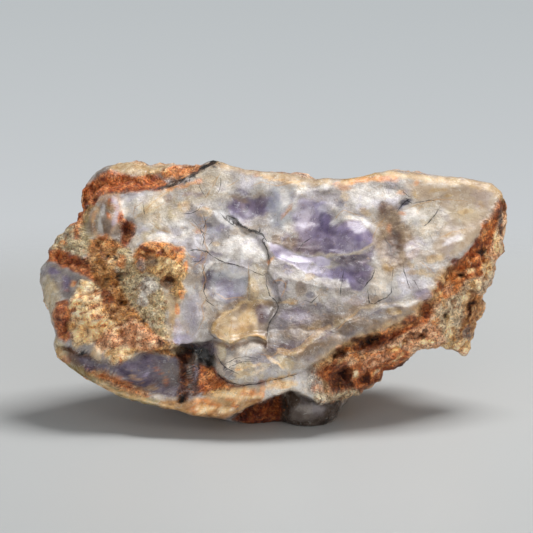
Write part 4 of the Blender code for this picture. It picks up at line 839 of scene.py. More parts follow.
# Spots: tone, strength, then the ovals (middle u, v, half sizes, turn in degrees)
SPOTS = (
    # the violet middle
    ("mauve", 0.6, (-5.9, 51.8, 1.2, 1.9, -10), (-1.9, 53, 1.4, 1.6, 0)),
    ("navy", 0.55, (-5.6, 51.5, 0.5, 1.2, -10), (16.5, 52.2, 0.7, 1.2, 20), (12.2, 49, 0.4, 2.1, 0),
     (9.6, 31.1, 1.2, 0.7, 10), (21.4, 34.6, 0.9, 0.9, 0), (-14.6, 36, 0.9, 1.2, 0)),
    ("slate", 0.5, (13.2, 42.8, 1.9, 1.6, 0), (20.7, 34.4, 1.6, 1.4, 0), (11.3, 28.7, 1.2, 0.7, 0),
     (15.1, 46.6, 0.9, 1.6, 0), (3.5, 44, 1.4, 0.9, -20)),
    ("dusk", 0.55, (-10.6, 32.9, 2.1, 2.1, 0), (22.6, 45.2, 1.4, 1.9, 0)),
    ("violet", 0.6, (19.3, 45.7, 2.1, 1.9, 0), (19.8, 35.5, 2.8, 1.2, 20)),
    ("fog", 0.85, (12.2, 24, 4.2, 1.9, -30), (17.9, 24.9, 3.3, 1.6, -25), (7.1, 18.4, 3.8, 1.4, 0),
     (0.5, 18.8, 2.4, 1.9, 20), (22.6, 24.9, 3.3, 1.4, -20)),
    ("slate", 0.5, (-11.3, 30.8, 2.8, 0.7, -10), (0.9, 19.5, 2.1, 1.4, 20), (18.4, 39.3, 2.4, 0.9, -10),
     (6.6, 20.2, 2.8, 1.4, 0)),
    ("violet", 0.5, (4.2, 37.4, 1.2, 1.4, 0), (-11.3, 47.1, 1.9, 0.9, 0), (-14.8, 19.5, 1.6, 0.9, 20),
     (-16.9, 40, 1.9, 1.4, 0), (-18.8, 55.1, 2.6, 0.7, 0), (-7.1, 55.3, 2.8, 0.7, 0)),
    ("grey", 0.6, (-10.4, 46.1, 1.4, 1.2, 0), (-13.6, 48.2, 1.9, 0.9, 0), (14.8, 55.5, 1.9, 0.9, 0),
     (28.7, 56.7, 2.4, 0.7, -10), (-2.8, 47.8, 2.1, 1.6, 0), (3.1, 30.1, 1.2, 1.2, 0),
     (14.1, 22.6, 2.1, 1.4, 30), (21.9, 24.9, 2.4, 1.4, 30)),
    ("lilac", 0.75, (8, 51.3, 2.4, 2.6, 10), (7.1, 47.5, 1.4, 1.6, 0)),
    ("lilac", 0.7, (11.5, 36.9, 2.6, 1.2, 0), (12.2, 52.5, 1.2, 0.7, 0), (16.7, 41.4, 2.1, 0.5, -10),
     (8.7, 48, 2.4, 0.5, 0), (4.2, 40.5, 1.6, 0.7, -20), (7.8, 49.9, 1.6, 1.6, 0)),
    ("lilac", 0.35, (-17.4, 28.7, 1.9, 3.3, 10), (-18.8, 23.5, 1.9, 2.8, 0), (33.4, 41.9, 1.6, 1.9, 0)),
    # the spots at u 33.2, v 49.7 and at u 42.8, v 44 are painted highlights
    ("white", 0.6, (13.4, 51.8, 1.9, 1.2, 20), (-4.7, 57, 2.1, 1.6, 0), (-10.8, 56.5, 1.9, 1.2, 0),
     (3.5, 54.6, 1.2, 1.9, 0), (-8, 36.2, 1.9, 0.9, 0), (27.8, 54.6, 3.1, 1.6, -10),
     (33.2, 49.7, 2.4, 2.1, 0), (36.2, 49.4, 1.2, 0.7, 0), (26.1, 32.7, 2.1, 2.1, 0),
     (32, 29.4, 3.3, 0.7, 8), (31.1, 33.7, 2.1, 1.9, 0), (36.7, 33.9, 2.1, 1.9, 0),
     (-8, 55.3, 2.8, 0.5, -20), (32.5, 42.1, 0.9, 0.5, 20), (42.8, 44, 2.6, 0.6, 26)),
    ("fog", 0.7, (-7.1, 54.1, 2.1, 0.7, -20), (6.4, 22.6, 3.8, 1.9, 0), (1.4, 44.2, 1.2, 1.2, 0),
     (7.1, 32.9, 1.4, 1.9, 0), (22.4, 29.2, 4.2, 1.4, 25), (17.7, 24.9, 3.8, 1.2, 35),
     (4.7, 43.5, 1.6, 1.4, 0), (30.1, 27.3, 3.8, 1.4, 0), (14.1, 25.4, 1.9, 1.4, 0)),
    ("mauve", 0.55, (6.6, 26.4, 4, 1.9, -10), (3.5, 18.8, 3.3, 1.2, 0), (12.2, 22.4, 2.6, 1.2, 30),
     (-8, 30.1, 2.6, 1.4, -20), (-1.9, 26.8, 1.6, 2.1, 0), (36, 31.5, 2.1, 1.2, 0)),
    ("honey", 0.5, (-12.7, 43.5, 0.9, 0.5, 0), (-17.2, 46.6, 0.9, 0.7, 0), (28.7, 27.5, 1.6, 0.9, 0),
     (39.1, 40, 2.4, 0.9, 10), (34.6, 36.7, 2.4, 0.7, 0), (37.7, 36, 1.2, 0.7, 0),
     (33.2, 38.4, 0.9, 0.7, 0), (22.6, 50.6, 1.4, 0.7, -30), (17.7, 54.6, 0.9, 1.4, 10),
     (4.2, 29.7, 2.1, 0.5, 5), (10.8, 24, 1.6, 0.9, 35), (15.8, 24.9, 1.2, 0.9, 30),
     (4.7, 17.7, 1.2, 0.5, 0), (-4, 32.9, 1.4, 2.4, 0), (9.4, 35.8, 1.2, 0.7, 20), (28, 37.7, 1.4, 0.9, 0),
     (7.5, 56.5, 1.4, 0.7, 0), (44.2, 46.1, 3.3, 0.6, 14)),
    ("orange", 0.45, (-3.1, 59.5, 0.9, 0.7, 0), (4, 51.1, 1.9, 0.6, 55), (0.2, 39.3, 1.2, 0.4, 60),
     (16.9, 57, 1.9, 0.9, -20), (27.8, 58.8, 3.3, 0.7, 0), (31.1, 55.3, 0.9, 0.6, 0),
     (31.3, 50.6, 0.7, 0.5, 0), (28.2, 47.1, 0.5, 1.2, 0), (34.6, 58.4, 0.7, 1.2, 0),
     (-16.7, 46.1, 0.9, 0.5, 0)),
    ("honey", 0.6, (43.1, 57.4, 0.5, 0.7, 0), (42.4, 54.6, 1.2, 0.4, 0), (49.2, 56.5, 1.2, 0.5, -30),
     (49.9, 53, 0.5, 1.2, 10), (30.1, 27.1, 1.2, 0.5, 10), (34.1, 55.1, 0.5, 1.2, 0),
     (46.1, 50.8, 1.9, 0.5, 10), (39.1, 56, 2.1, 0.5, 5)),
    ("brown", 0.6, (29.4, 43.8, 1.6, 3.1, 10), (26.6, 51.8, 0.9, 1.6, 0), (28.2, 41.4, 0.9, 1.9, 0),
     (0.9, 59.1, 0.6, 0.6, 0), (7.8, 57.9, 0.4, 0.4, 0), (11.1, 57.9, 0.7, 0.6, 0),
     (-24, 54.4, 0.9, 1.2, 0), (-2.4, 28.5, 0.5, 0.4, 0), (-1.9, 26.4, 0.4, 0.6, 0),
     (1.9, 34.6, 1.4, 0.5, 10), (3.8, 33.7, 0.5, 1.2, 0)),
    ("navy", 0.7, (32, 53.2, 1.2, 0.7, 25), (31.1, 52.2, 0.7, 0.5, 40), (5.6, 10.4, 0.3, 0.2, 0)),
    ("navy", 0.55, (-10.8, 14.6, 1.9, 0.4, -55), (-8.9, 13.2, 2.1, 0.4, -45), (-7.1, 15.5, 1.9, 0.3, -10),
     (-1.9, 17.4, 2.4, 0.3, -25), (-4.5, 18.4, 1.2, 0.3, -30)),
    ("cream", 0.7, (-5.2, 14.6, 2.8, 0.4, 12), (-3.3, 13.4, 2.1, 0.4, 20), (-7.5, 14.1, 1.2, 0.5, 0),
     (1.4, 15.5, 2.1, 0.4, -35)),
    ("frost", 0.6, (-4.2, 19.8, 2.1, 0.9, -5), (-9.4, 17.9, 1.4, 1.2, 0)),
    ("navy", 0.4, (-9.9, 12.9, 1.6, 0.7, -40), (-2.8, 16.7, 0.7, 0.4, 0), (-14.1, 37.7, 0.7, 0.7, 0),
     (-17.2, 32.5, 0.7, 1.2, 0), (-15.8, 27.8, 0.7, 0.7, 0)),
    ("ivory", 0.7, (-6.1, 14.8, 1.9, 0.7, 10), (-3.8, 13.9, 1.6, 0.7, -10), (-1.4, 14.6, 1.4, 0.9, 20)),
    ("cream", 0.6, (-15.3, 50.8, 2.1, 1.2, 0), (-20.2, 52.2, 1.6, 1.4, 0)),
    ("ivory", 0.8, (-11.3, 18.4, 0.9, 2.1, 0), (3.5, 15.5, 2.4, 1.2, -20), (-4.7, 12.7, 3.8, 0.7, 0),
     (-27.8, 52.2, 2.4, 1.4, 30), (-25.9, 47.1, 3.3, 0.9, -20), (-28.2, 45.2, 1.9, 1.4, 0),
     (-22.1, 50.4, 1.9, 1.4, 0)),
    ("white", 0.7, (-4.7, 19.3, 2.8, 1.9, 0), (-9.2, 15.5, 1.2, 1.6, 0), (7.1, 11.8, 2.8, 2.1, 0),
     (-33.4, 51.5, 1.4, 1.4, 0), (-25.9, 44.7, 2.8, 1.2, 0), (-16.9, 42.8, 1.4, 2.1, 0),
     (-29.2, 47.5, 1.9, 1.2, 0)),
    # the lobes and the left
    ("fog", 0.7, (-37.9, 52.5, 2.1, 1.9, 0), (-38.8, 47.5, 1.6, 2.8, 0), (-35.1, 45.9, 1.9, 2.1, 0),
     (-41.9, 48.5, 1.2, 3.1, 0)),
    ("grey", 0.6, (-41.4, 49, 0.9, 2.6, 0), (-35.8, 45.2, 1.4, 1.2, 0), (-15.8, 50.6, 2.1, 0.9, 0),
     (-39.3, 50.8, 0.9, 2.1, 0)),
    ("rust", 0.8, (-37.4, 53.2, 0.7, 0.9, 20), (-36.5, 52.2, 0.6, 0.7, 0), (-37.9, 49.9, 0.5, 0.7, 0),
     (-47.8, 32.7, 0.7, 0.5, 0), (-43.8, 52.7, 1.2, 1.9, 20), (-34.8, 49.9, 0.5, 0.9, 0),
     (-39.3, 45, 1.2, 0.9, 0)),
    ("brick", 0.8, (-33.9, 46.6, 0.9, 1.4, 0), (-34.4, 44, 0.7, 1.4, 0), (-29.9, 38.1, 0.9, 1.2, 0),
     (-43.3, 52.2, 0.5, 2.1, 20)),
    ("orange", 0.8, (-48.5, 43.5, 0.9, 0.7, 0), (-38.1, 43.1, 2.1, 0.9, 0), (-34.8, 39.1, 0.9, 1.6, 0),
     (-41.9, 43.5, 0.9, 0.9, 0), (-35.1, 16.5, 0.7, 1.4, 0), (-46.1, 33.9, 0.9, 0.7, 0),
     (-20.7, 31.5, 0.7, 1.2, 20), (-20.7, 41.4, 0.9, 1.2, 0), (-19.8, 38.1, 0.7, 1.4, -10),
     (-21.9, 28.2, 0.6, 1.2, 10)),
    ("brick", 0.9, (-28.7, 41.9, 1.9, 0.5, -25), (-30.6, 39.1, 0.6, 1.6, 0), (-25.9, 41.4, 1.2, 0.4, 0),
     (-21.2, 41.9, 0.7, 0.5, 0)),
    ("fog", 0.8, (-28, 39.3, 1.4, 1.2, 0), (-48, 45.4, 0.9, 0.7, 0)),
    ("cream", 0.6, (-40.5, 17.9, 1.1, 1.9, 25), (-36.9, 38.8, 0.9, 1.6, 0), (-49.9, 42.8, 1.2, 0.7, 0),
     (-42.4, 20, 1.2, 0.7, 0), (-43.8, 20.5, 0.9, 0.9, 0), (-23.1, 38.6, 2.1, 1.4, 0),
     (-35.8, 23.1, 0.9, 0.9, 0), (-34.4, 17.9, 1.9, 0.9, 0)),
    ("brick", 0.85, (-42.8, 22.4, 0.6, 1.4, 15), (-49.9, 25.9, 0.5, 2.8, 0), (-48, 24, 0.7, 1.4, 0),
     (-49, 29.4, 1.4, 0.5, 20)),
    ("rust", 0.8, (-44.5, 31.1, 0.8, 0.5, 0), (-42.1, 30.4, 0.6, 0.4, 20), (-40.9, 31.8, 0.7, 0.7, 0),
     (-45.7, 28, 0.9, 0.4, 20), (-43.5, 27.1, 0.9, 0.3, 20), (-41.9, 28.5, 0.9, 0.4, 10),
     (-40.5, 26.1, 1.2, 0.6, -10), (-44, 25.4, 0.6, 0.4, 0), (-39.1, 24.2, 0.7, 0.4, 0),
     (-41.2, 23.8, 0.7, 0.3, 20), (-45.2, 29.4, 1.2, 0.3, 25), (-42.4, 25.2, 0.7, 0.3, 0),
     (-39.1, 25.9, 0.9, 0.3, 0), (-40.5, 28.7, 0.7, 0.5, 0), (-45.9, 24.9, 0.5, 0.7, 0)),
    ("rubble", 0.85, (-24, 34.6, 1.9, 1.4, 0), (-37.2, 27.8, 2.1, 1.4, 0)),
    # brown in the cavity under the knob, the slit and small pits: painted shade
    ("brown", 0.9, (-23.8, 35.1, 1.2, 0.9, 0), (-43.3, 39.1, 1.6, 0.4, -25), (-47.1, 18.4, 1.6, 0.7, -20),
     (-25.9, 20.2, 1.2, 0.5, -20)),
    # dark in the small deep pits, the slit and under the curled nub: painted shade
    ("dark", 0.95, (-38.1, 40.2, 0.6, 0.5, 0), (-36.5, 39.8, 0.4, 0.7, 0), (-38.4, 35.1, 0.7, 0.4, -20),
     (-35.8, 35.8, 0.4, 1.1, 15), (-34.4, 29.4, 0.8, 0.4, -30), (-32.7, 29.2, 0.4, 0.3, 0),
     (-29.9, 25.4, 0.5, 0.4, 0), (-42.8, 38.8, 0.9, 0.2, -25), (-43.8, 17.4, 1.2, 0.4, 0),
     (-32.9, 41.7, 0.2, 0.5, 0)),
    ("white", 0.75, (-28.5, 33.4, 2.1, 2.1, 0), (-29.7, 29.9, 1.6, 1.4, 0)),
    ("ivory", 0.7, (-31.5, 33.4, 0.9, 1.9, 0), (-22.1, 18.8, 1.6, 1.2, 0)),
    # the mound's cream, laid again on its lower part, which faces down: painted light as well as its colour
    ("cream", 0.8, (-43.8, 23.5, 2.8, 1.9, 0), (-41.9, 21.7, 1.9, 1.2, 0), (-46.6, 24, 0.9, 1.4, 0)),
    ("slate", 0.8, (-48, 34.1, 1.4, 2.1, 15)),
    ("mauve", 0.6, (-33.4, 14.4, 1.6, 0.7, 0), (-29.2, 15.3, 2.1, 0.9, 20), (-28.9, 11.5, 1.2, 1.9, 30)),
    # ovals of painted shade on the face, as in the other shade rows below
    ("shade", 0.22, (16.5, 24, 5.6, 1.6, -6), (0.9, 18.8, 2.4, 1.9, 0), (-5.9, 27.8, 2.8, 1.4, 25),
     (28.2, 28.7, 2.4, 1.9, 0), (-8.9, 29.7, 2.1, 1.2, 20)),
    # white on the lip below the shell flake: painted light
    ("white", 0.6, (0, 9.4, 1.9, 1.4, 0)),
    ("grey", 0.5, (8, 3.5, 4, 1.9, 0)),
    ("cream", 0.32, (-8.5, 23.1, 3.5, 1.6, 12), (-5.2, 25.9, 2.4, 1.9, 30)),
    ("slate", 0.5, (-16.7, 44.7, 0.7, 2.1, 8), (-17.2, 37.7, 0.7, 1.9, 0), (-14.4, 47.5, 1.2, 0.6, 0),
     (-15.1, 34.4, 0.7, 1.9, 0), (-12.7, 40.9, 1.2, 0.5, -15)),
    ("white", 0.4, (-21.7, 48.5, 1.9, 1.4, 0), (-12.7, 52.7, 2.1, 0.9, 0), (-1.9, 56, 1.6, 0.7, 0),
     (31.5, 32.5, 1.4, 1.4, 0), (-11.3, 41.9, 1.6, 0.9, 0)),
    ("lilac", 0.3, (-8, 32.9, 2.4, 1.9, 0), (-18.8, 27.3, 1.6, 3.3, 0), (-6.1, 48.5, 1.9, 1.4, 0),
     (20.2, 30.1, 2.8, 1.2, 0), (36.2, 31.1, 1.9, 1.2, 0)),
    # cream on the hanging right corner and the mound's lower part: painted light
    ("cream", 0.7, (46.6, 19.5, 1.4, 1.6, 0), (-42.4, 24, 1.6, 1.4, 0)),
    # more painted shade, in this row and the next three shade rows
    ("shade", 0.32, (14.6, 24.2, 6.1, 1.9, -8), (0.5, 19.1, 2.1, 1.6, 0), (-37.7, 52.2, 1.9, 1.6, 0),
     (12.2, 56.2, 2.1, 0.9, 0), (17.9, 56.7, 2.1, 0.7, 0)),
    ("shade", 0.26, (15.5, 32.5, 6.1, 1.2, -14), (-7.5, 28.2, 2.8, 1.4, 35), (-40.9, 47.3, 3.8, 1.4, 0),
     (1.4, 29.2, 1.4, 1.9, 0), (28.2, 30.1, 1.9, 1.9, 0)),
    ("shade", 0.24, (-4.7, 60.7, 7.1, 1.4, -6), (-17.4, 57, 3.8, 1.4, 0), (-24, 47.5, 1.9, 1.9, 0),
     (-22.1, 42.8, 2.4, 1.9, 0), (-41.9, 28.7, 2.1, 1.9, 0)),
    ("shade", 0.22, (28.7, 43.1, 2.4, 2.8, 0), (21.7, 14.6, 3.3, 1.4, 30), (43.8, 47.5, 1.9, 1.6, 0),
     (-38.1, 19.3, 2.1, 1.2, 0), (-43.3, 19.3, 2.1, 1.2, 0)),
    # brown spots along the underside of the lower lip and one on the lobes: painted shade
    ("stain_and_shade", 0.5, (-23.5, 5.4, 3.8, 0.7, 6), (-15.1, 5.2, 3.3, 0.9, 0), (-8.5, 5.6, 2.4, 0.9, 0),
     (-37.2, 52.2, 0.9, 1.2, 0)),
    ("white", 0.35, (4.7, 51.8, 2.4, 1.9, 0), (4.7, 47.5, 1.4, 1.4, 0), (-30.1, 38.6, 1.2, 1.2, 0),
     (-24.5, 33.4, 1.4, 1.2, 0), (-14.1, 38.1, 1.4, 0.7, 0)),
    # cream on the mound's lower part, the rounded lower-left rim and the hanging right corner: painted light
    ("cream", 0.6, (-45.7, 24, 1.6, 1.6, 0), (-41.4, 9.4, 1.9, 0.7, -20), (45.2, 19.3, 1.9, 1.2, 0),
     (42.4, 22.6, 1.2, 1.4, 0)),
    ("violet", 0.8, (-50.8, 36.9, 1.4, 0.8, -20), (-48, 33.9, 0.7, 1.4, 10), (-42.4, 14.1, 1.2, 0.5, 0)),
    ("lilac", 0.6, (-28.9, 12.9, 0.7, 0.5, 0), (-34.4, 15.1, 1.9, 0.5, 10), (-17.4, 13.2, 0.5, 1.9, 0),
     (-21.7, 23.1, 0.9, 2.8, 0), (-20.2, 20.7, 1.9, 1.2, 0)),
    ("rust", 0.55, (-25.9, 13.4, 1.4, 0.4, -35), (-24.5, 11.3, 0.5, 1.2, 10), (-48, 16, 1.2, 0.7, -30),
     (-35.3, 11.3, 3.3, 0.7, -22)),
    ("tan", 0.5, (-27.3, 9.6, 1.6, 0.4, -20), (-31.1, 11.5, 1.9, 0.4, -35), (-9.9, 6.6, 3.3, 1.4, 0),
     (-49.4, 17.9, 0.9, 1.4, 0)),
    ("orange", 0.6, (-8, 7.3, 2.4, 0.9, 0), (-13.2, 5.6, 2.4, 0.9, 0), (-17.4, 4.7, 2.4, 0.7, 10)),
    # the last oval, on the lip's right part, is painted light
    ("cream", 0.8, (-11.3, 8.5, 2.8, 0.9, -8), (-5.9, 8, 3.3, 1.2, 0), (-14.6, 4.7, 2.1, 0.9, 0),
     (-10.4, 4.5, 1.9, 0.7, 0), (3.3, 10.4, 3.8, 0.9, 8)),
    ("orange", 0.75, (-14.1, 13.2, 1.4, 0.9, -30), (-11.3, 10.4, 1.9, 0.6, -10), (-4.7, 8.5, 1.9, 0.7, 0),
     (-15.5, 6.6, 2.1, 0.6, 0), (-8.5, 5.6, 1.4, 0.6, 0), (-1.9, 8.7, 0.7, 1.2, 0),
     (-12.5, 9.9, 0.9, 0.5, 0)),
    # dark in the deep hollow and low in the strip below it: painted shade
    ("dark", 0.97, (-15.1, 16.9, 2.1, 1.6, 0), (-16.9, 18.4, 2.1, 0.9, 0), (-14.1, 15.3, 1.2, 1.2, 0),
     (-20.5, 7.1, 0.7, 0.9, 0)),
    ("slate", 0.8, (-15.5, 19.3, 2.1, 0.6, 6), (-13.6, 18.4, 0.7, 1.2, 0)),
    ("dark", 0.95, (-23.1, 57, 0.9, 0.3, 35), (-21.7, 58.1, 1.2, 0.4, 40), (-20.2, 58.7, 0.9, 0.3, 25),
     (-18.6, 59.5, 0.9, 0.3, 28),
     (-17.2, 60.5, 0.7, 0.2, 25), (-15.5, 61.7, 1.2, 0.4, 30), (-14.1, 62.4, 1.2, 0.4, 25),
      (-12.9, 62.7, 0.7, 0.4, 10), (-19.8, 57.9, 0.5, 0.2, 0)),
    # the crust on the right
    ("orange", 0.8, (51.1, 48, 1.2, 1.2, 20), (50.4, 46.1, 0.6, 1.9, 0), (47.1, 39.1, 1.2, 0.9, 0),
     (40, 32, 1.2, 0.9, 40), (42.6, 35.3, 1.2, 0.9, 0), (18.8, 18.4, 1.2, 0.6, -20),
     (21.7, 16.7, 1.9, 0.5, 15), (19.3, 17.2, 1.2, 0.5, 0), (39.1, 24.9, 0.9, 0.9, 0),
     (50.4, 39.1, 0.9, 1.2, 0)),
    ("brick", 0.85, (54.8, 53, 0.9, 1.6, 0), (50.8, 48.5, 0.7, 0.9, 0), (49, 43.3, 1.2, 1.4, 20),
     (43.5, 38.6, 0.9, 0.9, 30), (45.4, 34.1, 0.5, 0.7, 0), (36.5, 27.8, 1.4, 2.1, 0),
     (32.9, 25.4, 1.9, 0.9, 20), (48, 38.1, 1.6, 0.5, 25), (40, 33.4, 0.7, 1.4, 20)),
    # brown in the crust's cavities and pits: the crust's brown, deepened there as painted shade
    ("brown", 0.9, (49.9, 41.4, 1.2, 0.9, 0), (45, 36, 1.2, 0.4, 0), (23.1, 20.7, 3.1, 1.2, 8),
     (16.2, 17.2, 1.6, 0.7, 10), (16.7, 12.2, 0.9, 2.4, -25), (15.5, 9.9, 1.2, 0.7, 20),
     (19.3, 10.4, 0.9, 0.5, -30), (34.1, 22.1, 1.9, 0.4, -15), (54.1, 50.4, 0.6, 1.2, -20),
     (54.6, 47.3, 0.4, 2.4, 0), (47.1, 28, 0.5, 1.9, 0), (44, 39.5, 0.7, 0.4, 0), (22.6, 11.5, 1.2, 0.9, 0),
     (45, 23.1, 0.5, 0.5, 0), (48.2, 29.4, 0.9, 0.3, 0), (36.5, 23.1, 0.9, 0.5, 0),
     (19.3, 10.4, 0.7, 0.9, 0), (31.3, 15.1, 1.4, 0.5, 40)),
    # dark in the deepest pits of the crust: painted shade
    ("dark", 0.9, (41.4, 26.6, 0.4, 0.4, 0), (49.4, 41.4, 0.7, 0.4, 0), (45, 36, 0.9, 0.2, 0),
     (23.8, 20.5, 1.2, 0.5, 10), (21.7, 14.4, 0.4, 0.5, 0)),
    ("cream", 0.8, (46.1, 30.6, 0.7, 1.9, -40), (53.4, 44.7, 0.9, 1.4, 0), (53.9, 42.1, 1.2, 1.2, 0),
     (47.1, 37.2, 1.2, 0.5, 0), (20.2, 12.7, 0.6, 0.9, -10), (42.1, 24.9, 0.7, 2.1, 0),
     (42.4, 19.1, 2.1, 1.2, 10), (51.3, 37.7, 1.4, 1.9, 0), (48.5, 33.4, 1.4, 1.2, 0),
     (40.9, 29.4, 0.5, 1.2, 0), (42.8, 21.2, 0.9, 1.2, 0), (28.7, 18.4, 2.1, 0.5, 30),
     (31.1, 19.8, 1.6, 0.5, 40), (30.1, 16.5, 1.9, 0.5, 40), (24.9, 13.2, 1.2, 0.4, 40),
     (36.7, 20.2, 2.1, 0.6, 10), (50.8, 40, 0.5, 1.9, 0)),
    ("salmon", 0.8, (26.8, 16.5, 2.8, 1.2, 30), (23.5, 15.5, 2.1, 1.2, 30), (11.3, 9.4, 1.4, 0.9, 0),
     (53.7, 40.5, 1.2, 0.7, 0), (16, 19.1, 0.9, 0.5, 0), (41.9, 32.5, 1.4, 0.7, 40)),
    ("grey", 0.75, (46.6, 22.6, 0.9, 1.6, 0), (54.6, 49.2, 0.5, 0.9, 0)),
    ("milk", 0.5, (9.9, 4.7, 3.3, 1.2, 0)),
    ("ivory", 0.8, (17.9, 8.2, 2.8, 0.5, 12), (12.2, 7.5, 1.9, 0.9, 0)),
    ("honey", 0.7, (16.5, 15.8, 1.4, 0.3, 40), (18.1, 19.8, 0.9, 0.3, 0), (42.4, 20, 0.7, 1.2, 20)),
)

# Streaks: tone, strength, width, path
STREAKS = (
    ("honey", 0.6, 1.4, ((-12.2, 62.1), (-5.9, 60.7), (0, 59.5), (3.8, 59.1), (9.6, 57.9), (14.1, 57.9))),
    ("honey", 0.85, 1.4, ((17.4, 58.1), (23.3, 59.1), (28.2, 59.8), (32.5, 59.5), (38.8, 58.6),
     (46.6, 57.9), (51.8, 56.7), (55.1, 54.4))),
    ("orange", 0.6, 0.9, ((19.3, 58.1), (24, 58.8), (29.7, 59.1))),
    ("brown", 0.3, 1.2, ((-22.1, 57.4), (-19.8, 58.8), (-17.4, 60.5), (-15.1, 61.9), (-12.7, 62.4))),
    ("rust", 0.8, 0.9, ((-43.8, 56.5), (-45.2, 52.7), (-45.4, 49.4), (-45.7, 44.7))),
    ("white", 0.6, 0.8, ((-39.1, 52.5), (-40, 49.4), (-39.5, 45.7))),
    ("lilac", 0.5, 0.9, ((-36.7, 53.9), (-35.8, 51.8), (-36.7, 48))),
    ("rubble", 0.5, 0.7, ((-40.7, 52.2), (-41.7, 49), (-40.9, 45.2))),
    ("white", 0.5, 0.7, ((-30.6, 53.7), (-32, 50.4), (-30.6, 47.5), (-28.2, 46.1))),
    ("olive", 0.7, 0.9, ((-42.4, 52.2), (-43.3, 49.9), (-43.8, 46.6), (-42.8, 43.8))),
    # brown along the slit at the left end: painted shade
    ("brown", 0.8, 0.6, ((-44.7, 40), (-42.8, 39.1), (-41.2, 37.2))),
    ("tan", 0.7, 0.6, ((-1.9, 59.3), (1.4, 58.6), (4.7, 58.1), (7.1, 57.9))),
    ("honey", 0.6, 0.7, ((-23.5, 56), (-26.4, 54.1), (-28.2, 52.5), (-29.4, 50.6), (-32, 49.7))),
    ("stain_and_shade", 0.6, 1.2, ((-14.1, 23.5), (-12.7, 25.9), (-10.4, 28.2), (-7.1, 29.9), (-4.7, 30.8))),
    ("orange", 0.6, 0.5, ((-24, 56.2), (-21.2, 56.7), (-18.4, 57.4), (-16.2, 58.1))),
    ("honey", 0.7, 0.6, ((-13.6, 22.8), (-12.7, 24.9), (-10.4, 27.1), (-7.5, 28.7), (-5.2, 29.9))),
    # a painted highlight along the hood flake's lower edge
    ("cream", 0.7, 0.4, ((-12.7, 22.1), (-9.2, 19.9), (-7.1, 20.9), (-4.7, 21.8), (-2.8, 21.9),
     (-0.9, 20.9))),
    # a painted shadow just under the hood flake's lower edge
    ("brown", 0.5, 0.8, ((-12.7, 20.5), (-9.2, 18.8), (-6.8, 19.8), (-4.5, 20.5), (-2.6, 20.5),
     (-0.5, 19.3))),
    # a painted highlight along the top of the dome
    ("white", 0.75, 0.9, ((14.6, 48.2), (16, 49.4), (18.4, 49.8), (21.2, 49.4), (23.5, 48), (25.2, 46.1))),
    ("ivory", 0.6, 0.5, ((13.4, 40.4), (16.9, 40.8), (21.2, 41.3), (24.2, 43.5), (25.4, 46.1))),
    # a painted highlight along the top of the violet clouds
    ("white", 0.7, 0.8, ((5.6, 52), (6.1, 54.4), (7.8, 56), (10.4, 56.5), (13.2, 56.6))),
    ("ivory", 0.4, 0.6, ((7.1, 19.1), (9.9, 20.5), (13.2, 22.6), (16.9, 24.9), (20.2, 27.3), (24, 28.9),
     (31.5, 29.4))),
    ("tan", 0.45, 0.9, ((1.9, 18.1), (5.2, 17.9), (7.5, 18.8), (9.2, 20.5), (11.3, 22.4), (13.6, 23.8))),
    # the rust line under the shell flake's lower edge: rust, and painted shadow under the edge
    ("brick", 0.7, 0.4, ((-13.4, 14.1), (-11.3, 11.9), (-8.9, 10.4), (-5.9, 10), (-2.8, 10.5),
     (-0.5, 11.1))),
    ("tan", 0.8, 0.4, ((-0.5, 11.3), (2.8, 12), (6.1, 12.9))),
    ("ivory", 0.5, 0.4, ((-9.4, 11.4), (-5.9, 11.1), (-2.8, 11.5), (0, 12.1), (4.7, 13.4))),
    ("rust", 0.8, 0.7, ((-40.9, 12.7), (-37.2, 11.5), (-32.9, 9.4), (-28.2, 7.5))),
    ("cream", 0.6, 0.5, ((-40.9, 11.5), (-35.8, 8.2), (-28.2, 6.4), (-22.1, 4.7))),
    ("cream", 0.6, 0.5, ((-15.5, 7.8), (-12.7, 9.2), (-8.9, 9.6), (-4.7, 9.4))),
)

